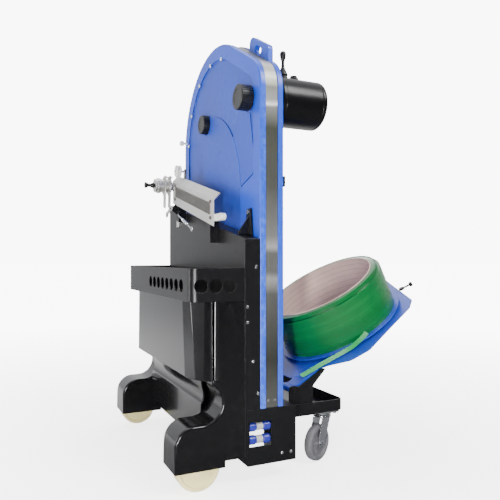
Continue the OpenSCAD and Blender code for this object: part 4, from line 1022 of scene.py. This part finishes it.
class SM_OT_cowl(bpy.types.Operator):
    """The moulded front cowl with its lip, centre panel and two mudguards"""

    bl_idname = "strapping.cowl"
    bl_label = "Front cowl"

    def execute(self, context):
        outer = ([(-515, 64)] + arc((-453, 138), 62, 180, 90, 14) + arc((-426, 262), 62, -90, 62, 22)
                 + [(-397, 328), (-290, 328), (-290, 84), (-355, 84), (-355, 64)])
        inner = ([(-510, 58)] + arc((-453, 138), 57, 180, 90, 12) + arc((-426, 262), 67, -90, 54, 18)
                 + [(-387, 323), (-285, 323), (-285, 78), (-361, 78), (-361, 58)])
        plan = [(-448, -270), (-433, -338), (-397, -391.5), (-290, -391.5),
                (-290, 433.5), (-397, 433.5), (-433, 380), (-448, 312)]
        hollow = [(-443, -256), (-428, -316), (-392, -385), (-280, -385),
                  (-280, 427), (-392, 427), (-428, 358), (-443, 298)]
        cowl = traced("cowl_moulding", in_metres(plan), 0.244, at=(0, 0, 0.324))
        self.spread(cowl)
        bevelled_where(cowl, 0.034, 8, lambda a, b: (
            -0.41 < a.x < -0.35 and -0.41 < b.x < -0.35 and abs(a.z - b.z) > 0.1))
        bevelled_where(cowl, 0.006, 4, lambda a, b: max(a.z, b.z) < 0.3245 and max(a.x, b.x) < -0.385)
        bevelled_where(cowl, 0.0034, 3, lambda a, b: max(a.x, b.x) < -0.42 and abs(a.z - b.z) > 0.1)
        cut(cowl, outwards(traced("room", in_metres(hollow), 0.26, at=(0, 0, 0.329))))
        for y in (-0.3915, 0.3135):
            guard = traced("guard", in_metres(outer), 0.12, matrix=side_view(y))
            outwards(guard)
            bevelled_where(guard, 0.009, 4, lambda a, b: (
                abs(a.y - b.y) < 1e-6 and min(a.z, b.z) > 0.088 and max(a.z, b.z) < 0.3285
                and max(a.x, b.x) < -0.30 and abs(a.z + b.z - 0.656) > 1e-3))
            cut(cowl, guard, "UNION")
        for y in (-0.3865, 0.3185):
            cut(cowl, outwards(traced("room", in_metres(inner), 0.11, matrix=side_view(y))))
        skirt = traced("skirt", in_metres([
            (-395, 326)] + arc((-450, 262), 66, 22, -28, 8) + [(-397, 112), (-392, 112)]
            + arc((-450, 262), 71, -28, 22, 8) + [(-385, 326)]), 0.589, matrix=side_view(-0.2735))
        cut(cowl, outwards(skirt), "UNION")
        clear()
        bpy.ops.mesh.primitive_cube_add(size=1, location=(-0.316, 0.021, 0.150),
                                        scale=(0.0406, 0.7856, 0.0406))
        cut(cowl, named("beam_slot"))
        outwards(cowl)
        rounded(cowl, 0.0009, 2, angle=50, smooth=40)
        ready(cowl, "Black polished moulding", "frame", "black_moulding", "front_cowl")
        panel = in_metres(arc((-453, 138), 44, 176, 92, 8)
                          + [(-420, 181), (-402, 170), (-402, 92), (-497, 92)])
        for side, y in (("near", -0.2715), ("far", 0.3135 - 0.0012)):
            inset = traced(f"guard_panel_{side}", panel, 0.0012, matrix=side_view(y))
            rounded(outwards(inset), 0.0005, 2)
            ready(inset, "Black polished moulding", "frame", "black_moulding")
        return {"FINISHED"}

    def spread(self, cowl):
        """The front face and its cheeks are narrower at their top than at the lip."""
        for front, top, factor in ((True, True, 558 / 582), (True, False, 606 / 582), (False, True, 0.919)):
            choose(cowl, points=lambda v: v.x < -0.42 and (v.x < -0.44) == front and (v.z > 0.4) == top)
            bpy.ops.transform.resize(value=(1, factor, 1), center_override=(0, 0.021, 0.4))
            if not front:
                bpy.ops.transform.translate(value=(-0.007, 0, 0))
        clear()


class SM_OT_front_wheels(bpy.types.Operator):
    """The two nylon wheels with their axles, brackets and crossbeam"""

    bl_idname = "strapping.front_wheels"
    bl_label = "Front wheels"

    def execute(self, context):
        for side in ("near", "far"):
            node = f"front_wheel_{side}"
            low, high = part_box(node)
            r, w, hub = (high.z - low.z) / 2, high.y - low.y, 0.002
            half = [(0.00806, 0), (0.0205, 0), (0.022, 0.0008), (0.0235, hub + 0.0045), (0.026, hub + 0.0052),
                    (r - 0.0135, hub + 0.0052), (r - 0.012, hub + 0.0040), (r - 0.0105, hub + 0.0006),
                    (r - 0.009, hub), (r - 0.006, hub), (r - 0.0028, hub + 0.0007),
                    (r - 0.0008, hub + 0.0026),
                    (r, hub + 0.006), (r, w / 2 - 0.004), (r - 0.0006, w / 2 - 0.0032)]
            wheel = turned(f"wheel_{side}", mirrored(half, w), steps=96, hollow=True)
            settled(wheel, ((low.x + high.x) / 2, low.y, (low.z + high.z) / 2), (0, 1, 0))
            ready(smoothed(wheel), "Cream nylon", node, "nylon", node)
        for node, name, finish, slot in (("front_axles", "axle_pins", "Zinc plating", "zinc"),
                                         ("axle_brackets", "axle_plates", "Black powder coat", "black_paint"),
                                         ("front_crossbeam", "crossbeam", "Black powder coat", "black_paint"),
                                         ("chassis_rails", "rails", "Black powder coat", "black_paint")):
            restyled(node, name, finish, slot, width=0.001)
        return {"FINISHED"}


class SM_OT_exit_box(bpy.types.Operator):
    """The steel box under the magazine, with its two spool rollers"""

    bl_idname = "strapping.exit_box"
    bl_label = "Exit box"

    def execute(self, context):
        restyled("exit_box", "exit_case", "Black powder coat", "black_paint", width=0.001, segments=3)
        restyled("roller_pins", "roller_pins_set", "Zinc plating", "zinc", width=0.0006)
        for side in ("upper", "lower"):
            node = f"exit_roller_{side}"
            low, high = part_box(node)
            r, w = (high.z - low.z) / 2, high.x - low.x
            half = [(0.00506, 0), (r - 0.0016, 0), (r - 0.0004, 0.0006), (r, 0.0018), (r, w * 0.27),
                    (r - 0.0007, w * 0.295), (r - 0.0019, w * 0.325), (r - 0.0025, w * 0.35),
                    (r - 0.0025, w * 0.48)]
            roller = turned(f"roller_{side}", mirrored(half, w), steps=64, hollow=True)
            settled(roller, end_face(node), (1, 0, 0))
            ready(smoothed(roller), "Roller blue", node, "blue_roller", node)
            paint(roller, "Roller waist", lambda c, n: low.x + w * 0.34 < c.x < high.x - w * 0.34)
        return {"FINISHED"}


TYRE_RADIUS, TYRE_WIDTH = 0.062, 0.030


class SM_OT_platform(bpy.types.Operator):
    """The rear platform with its two swivel casters"""

    bl_idname = "strapping.platform"
    bl_label = "Platform and casters"

    def execute(self, context):
        for node, name in (("platform_frame", "platform_rim"), ("platform_floor", "platform_sheet")):
            restyled(node, name, "Black powder coat", "black_paint", width=0.0009, segments=3)
        restyled("caster_plates", "caster_top_plates", "Zinc plating", "zinc", width=0.001)
        for side in ("near", "far"):
            self.caster(side)
        return {"FINISHED"}

    def caster(self, side):
        fork_node, wheel_node = f"caster_fork_{side}", f"caster_wheel_{side}"
        swivel = JOINTS[f"caster_{side}_swivel"]["pos_m"]
        roll = JOINTS[f"caster_{side}_roll"]
        centre, axis = Vector(roll["pos_m"]), Vector(roll["axis"]).normalized()
        fork = refined(fork_node, f"fork_{side}", width=0.0009, segments=2)
        race = turned(f"race_{side}", [(0.012, 0.1440), (0.0255, 0.1440), (0.0285, 0.1455), (0.0300, 0.1485),
                                       (0.0296, 0.1515), (0.0270, 0.1530), (0.0262, 0.1545), (0.0270, 0.1560),
                                       (0.0292, 0.1572), (0.0292, 0.1600), (0.0270, 0.1616), (0.012, 0.1620)],
                      (swivel[0], swivel[1], 0), steps=64)
        nut = [(0.006, 0), (0.0088, 0), (0.0096, 0.0009), (0.0096, 0.0044), (0.0086, 0.0055),
               (0.0058, 0.0055), (0.0052, 0.0072), (0.002, 0.0076)]
        ends = [turned(f"nut_{side}_{i}", nut, centre + axis * s * 0.0202, axis * s, steps=6 if i else 32)
                for i, s in enumerate((-1, 1))]
        fork = joined(f"caster_frame_{side}", fork, race, *ends)
        ready(smoothed(fork), "Zinc plating", f"caster_fork_{side}", "zinc", fork_node)
        r, w = TYRE_RADIUS, TYRE_WIDTH
        half = [(0.00506, -0.001), (0.0145, -0.001), (0.016, -0.0004), (0.0172, 0.0048), (0.0195, 0.0062),
                (r - 0.0195, 0.0062), (r - 0.0172, 0.0052), (r - 0.0150, 0.0012), (r - 0.0132, 0.0002),
                (r - 0.0126, 0.0010), (r - 0.0118, 0.0002), (r - 0.008, 0.0004), (r - 0.0046, 0.0016),
                (r - 0.0018, 0.0044), (r - 0.0003, 0.0088), (r, w / 2 - 0.0004)]
        wheel = turned(f"caster_tyre_{side}", mirrored(half, w), steps=96, hollow=True)
        choose(wheel, faces=lambda f: abs(f.normal.z) > 0.9 and 0.024 < Vector(f.center[:2]).length < 0.041
               and round(math.atan2(f.center.y, f.center.x) * 48 / math.pi - 0.5) % 12 < 8)
        bpy.ops.mesh.inset(thickness=0.0012, depth=-0.0016)
        clear()
        settled(wheel, centre - axis * (w / 2), axis)
        ready(smoothed(wheel), "Grey tyre", f"caster_wheel_{side}", "grey_tyre", wheel_node)
        paint(wheel, "Machined steel", lambda c, n: (Vector(c) - centre).cross(axis).length < 0.0165)


class SM_OT_coil_tray(bpy.types.Operator):
    """The tilting blue tray, its brackets and the dancer lever"""

    bl_idname = "strapping.coil_tray"
    bl_label = "Coil tray"

    def execute(self, context):
        restyled("coil_tray", "tray_plate", "Blue tray", "blue_plastic", "coil_tray",
                 width=0.0011, segments=3)
        restyled("tray_brackets", "tray_bracket_pair", "Black powder coat", "black_paint", width=0.001)
        restyled("dancer_lever", "dancer_arm", "Black grip plastic", "black_plastic", "dancer",
                 width=0.0008, segments=3)
        return {"FINISHED"}


class SM_OT_coil(bpy.types.Operator):
    """The wound strap with its paper core, turning disc and free end"""

    bl_idname = "strapping.coil"
    bl_label = "Strap coil"

    def execute(self, context):
        props = context.scene.strapping_coil
        low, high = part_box("strap_coil")
        r, bore, width = (high.y - low.y) / 2, props.core_bore + props.core_wall, props.width
        axis = (-math.sin(TILT), 0, math.cos(TILT))
        seat = on_tray(*COIL_SEAT)
        pitch = width / props.turns
        wall = []
        for i in range(props.turns):
            z = i * pitch
            lift = 0.00035 * math.sin(i * 2.3)
            foot = 0.010 * (1 - min(1, (z + pitch) / width * 1.15))
            over = r - foot - 0.012 * max(0, z / width - 0.82) / 0.1
            wall += [(over - 0.0007, z + 0.0001), (over - 0.0004 + lift, z + 0.0005),
                     (over - 0.0004 + lift, z + pitch - 0.0005)]
        low_r, high_r = wall[0][0] - 0.0008, wall[-1][0] - 0.001
        under = [(bore + 0.002 + i * (low_r - bore - 0.002) / 9, 0.0005 if i % 2 else 0.0) for i in range(10)]
        crown = [(high_r - i * (high_r - bore - 0.001) / 9, width - 0.0035 + 0.0030 * (i / 9) ** 0.5)
                 for i in range(10)]
        profile = [(bore, 0.0006)] + under + wall + crown + [(bore, width - 0.0012)]
        coil = turned("wound_strap", profile, seat, axis, steps=160, hollow=True)
        ready(smoothed(coil, 25), "Green strap", "coil", "green_strap", "strap_coil")
        core_in, core_out, h = props.core_bore, bore - 0.0001, width + 0.001
        core = turned("paper_core", [
            (core_in + 0.0003, 0), (core_out, 0), (core_out, h - 0.0008), (core_out - 0.0006, h),
            (core_in + 0.0006, h), (core_in, h - 0.0008), (core_in, h * 0.5), (core_in, 0.0006)],
            seat, axis, steps=160, hollow=True)
        ready(smoothed(core), "Paper core", "coil", "cardboard", "coil_core")
        restyled("coil_disc", "turning_disc", "Blue tray", "blue_plastic", "coil", width=0.0006)
        self.free_end()
        return {"FINISHED"}

    def free_end(self):
        """The strap's loose end: leaning off the coil's foot and down the tray's near edge."""
        line = [(325, -235, 17), (300, -238, 14), (275, -238, 12), (249, -235, 9), (222, -223, 7),
                (196, -209, 5), (162, -194, 4), (128, -179, 2.5), (95, -168, 1.5), (63, -157, 1.5)]
        places = [on_tray(*(value / 1000 for value in point)) for point in line]
        lean = on_tray(-0.0041, 0.0085, 0.0131) - on_tray(0, 0, 0)
        tail = started("strap_end", places[0])
        bpy.ops.mesh.extrude_region_move(TRANSFORM_OT_translate={"value": lean})
        bpy.ops.mesh.select_all(action="SELECT")
        extrude_along(places)
        clear()
        modify(tail, "SOLIDIFY", thickness=0.0008, offset=0)
        outwards(tail)
        # the loose end wears the strap's painted lit copy
        ready(smoothed(tail, 40), "Green strap painted lit end", "coil_tray", "green_strap", "strap_tail")


class SM_OT_tool_holder(bpy.types.Operator):
    """The stainless tool holder with its pad, head, hanger, pulley and latch"""

    bl_idname = "strapping.tool_holder"
    bl_label = "Tool holder"

    def execute(self, context):
        for node, name, finish, slot, body, width in (
                ("holder_plate", "holder_sheet", "Holder stainless", "stainless", "frame", 0.0008),
                ("holder_head", "holder_mechanism", "Holder stainless", "stainless", "frame", 0.0012),
                ("holder_pad", "holder_ribbed_pad", "Ribbed pad", "rubber_pad", "frame", 0.0005),
                ("tool_hanger", "hanger_block", "White plastic", "white_plastic", "frame", 0.0016),
                ("latch_lever", "latch_hook", "Holder stainless", "stainless", "latch", 0.0011)):
            restyled(node, name, finish, slot, body, width=width, segments=3 if width > 0.001 else 2)
        low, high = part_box("holder_plate")
        line = low.z + 0.0537
        paint(bpy.data.objects["holder_sheet"], "Black powder coat", lambda c, n: (
            c.z - line - 0.2565 * (c.y - low.y) < (0.0375 if c.x > -0.3218 else -0.0005)))
        knob = turned("waisted_knob", [
            (0.0105, 0), (0.0117, 0.0006), (0.0121, 0.0018), (0.0121, 0.0052), (0.0112, 0.0068),
            (0.0085, 0.0110), (0.0066, 0.0150), (0.0062, 0.0190), (0.0069, 0.0235), (0.0095, 0.0280),
            (0.0110, 0.0302),
            (0.0111, 0.0350), (0.0102, 0.0368), (0.0070, 0.0390), (0.0060, 0.0392), (0.0060, 0.0720)],
            steps=48)
        settled(knob, end_face("head_knob"), (1, 0, 0))
        ready(smoothed(knob, 40), "Black grip plastic", "head_knob", "black_plastic", "head_knob")
        low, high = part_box("guide_pulley")
        w = high.x - low.x
        half = [(0.00406, 0), (0.0085, 0), (0.0092, 0.0008), (0.0098, 0.0018), (0.0192, 0.0018),
                (0.0202, 0.0006), (0.0222, 0.0004), (0.0238, 0.0018), (0.0240, 0.0044), (0.0232, 0.0062),
                (0.0204, 0.0080),
                (0.0190, 0.0096)]
        pulley = turned("pulley", mirrored(half, w), steps=64, hollow=True)
        settled(pulley, end_face("guide_pulley"), (1, 0, 0))
        ready(smoothed(pulley), "White plastic", "guide_pulley", "white_plastic", "guide_pulley")
        self.spring()
        return {"FINISHED"}

    def spring(self):
        """The sprung tie rod that runs below the holder, with an eye at its near end."""
        near, far = Vector((-0.3312, -0.005, 0.8085)), Vector((-0.3312, 0.150, 0.8685))
        way = (far - near).normalized()
        length = (far - near).length
        rod = turned("tie_rod", [(0.0016, 0), (0.0030, 0.0004), (0.0032, 0.0012), (0.0032, length - 0.0012),
                                 (0.0030, length - 0.0004), (0.0016, length)], near, way, steps=24)
        clear()
        bpy.ops.mesh.primitive_circle_add(vertices=8, radius=0.0008, location=(0.0052, 0, 0),
                                          rotation=(math.pi / 2, 0, 0))
        coil = named("tie_spring")
        bpy.ops.object.transform_apply()
        modify(coil, "SCREW", axis="Z", angle=2 * math.pi, screw_offset=0.0022, iterations=30, steps=20,
               render_steps=20, use_merge_vertices=True)
        choose(coil, edges=lambda a, b: False)
        bpy.ops.mesh.select_non_manifold()
        bpy.ops.mesh.fill()
        clear()
        settled(outwards(coil), near + way * 0.045, way)
        eye = self.eye(near - way * 0.006, way)
        rod = joined("spring_tie", rod, coil, eye)
        ready(smoothed(rod, 50), "Zinc plating", "frame", "zinc")

    def eye(self, centre, way):
        clear()
        bpy.ops.mesh.primitive_torus_add(major_radius=0.0075, minor_radius=0.0022, major_segments=32,
                                         minor_segments=12)
        eye = named("tie_eye")
        choose(eye, faces=lambda f: f.center.z > 0.0012)
        bpy.ops.transform.resize(value=(1, 1, 0.7), center_override=(0, 0, 0))
        clear()
        return settled(eye, centre, (1, 0, 0))


class SM_OT_inner_parts(bpy.types.Operator):
    """Shafts, sprockets, lance, battery and controller: the nodes kept as they are"""

    bl_idname = "strapping.inner_parts"
    bl_label = "Inner parts"

    def execute(self, context):
        for finish, *nodes in (("Machined steel", "drive_shaft", "idler_shaft"),
                               ("Bronze", "shaft_bushes"),
                               ("Oiled steel", "drive_sprocket", "idler_sprocket", "chain_lance"),
                               ("Black grip plastic", "inner_track", "battery_pack"),
                               ("Black powder coat", "battery_shelf"),
                               ("Cast case", "motor_controller")):
            for node in nodes:
                mesh = frame["nodes"][node].data
                mesh.materials.clear()
                mesh.materials.append(FINISHES[finish])
        return {"FINISHED"}


class SM_PT_machine(bpy.types.Panel):
    """Lists the pieces of the strapping machine"""

    bl_idname = "SM_PT_machine"
    bl_label = "Strapping Machine"
    bl_space_type = "VIEW_3D"
    bl_region_type = "UI"
    bl_category = "Strapping Machine"

    def draw(self, context):
        scene = context.scene
        for title, props in (("Colours", scene.strapping_finish), ("Magazine", scene.strapping_magazine),
                             ("Coil", scene.strapping_coil), ("Studio", scene.strapping_studio)):
            box = self.layout.box()
            box.label(text=title)
            for key in props.__annotations__:
                box.prop(props, key)
        column = self.layout.column()
        for operator in OPERATORS:
            column.operator(operator.bl_idname)


GROUPS = {"strapping_finish": StrappingFinish, "strapping_magazine": StrappingMagazine,
          "strapping_coil": StrappingCoil, "strapping_studio": StrappingStudio}
OPERATORS = (SM_OT_studio, SM_OT_magazine, SM_OT_hand_knobs, SM_OT_motor, SM_OT_column, SM_OT_cowl,
             SM_OT_front_wheels, SM_OT_exit_box, SM_OT_platform, SM_OT_coil_tray, SM_OT_coil,
             SM_OT_tool_holder, SM_OT_inner_parts)


def register():
    for group in GROUPS.values():
        bpy.utils.register_class(group)
    for name, group in GROUPS.items():
        setattr(bpy.types.Scene, name, bpy.props.PointerProperty(type=group))
    for operator in OPERATORS:
        bpy.utils.register_class(operator)
    bpy.utils.register_class(SM_PT_machine)


def unregister():
    bpy.utils.unregister_class(SM_PT_machine)
    for operator in reversed(OPERATORS):
        bpy.utils.unregister_class(operator)
    for name in GROUPS:
        delattr(bpy.types.Scene, name)
    for group in GROUPS.values():
        bpy.utils.unregister_class(group)


def main():
    register()
    make_finishes()
    bpy.ops.strapping.studio()
    bpy.ops.strapping.magazine()
    bpy.ops.strapping.hand_knobs()
    bpy.ops.strapping.motor()
    bpy.ops.strapping.column()
    bpy.ops.strapping.cowl()
    bpy.ops.strapping.front_wheels()
    bpy.ops.strapping.exit_box()
    bpy.ops.strapping.platform()
    bpy.ops.strapping.coil_tray()
    bpy.ops.strapping.coil()
    bpy.ops.strapping.tool_holder()
    bpy.ops.strapping.inner_parts()
    clear()


if __name__ == "__main__":
    main()
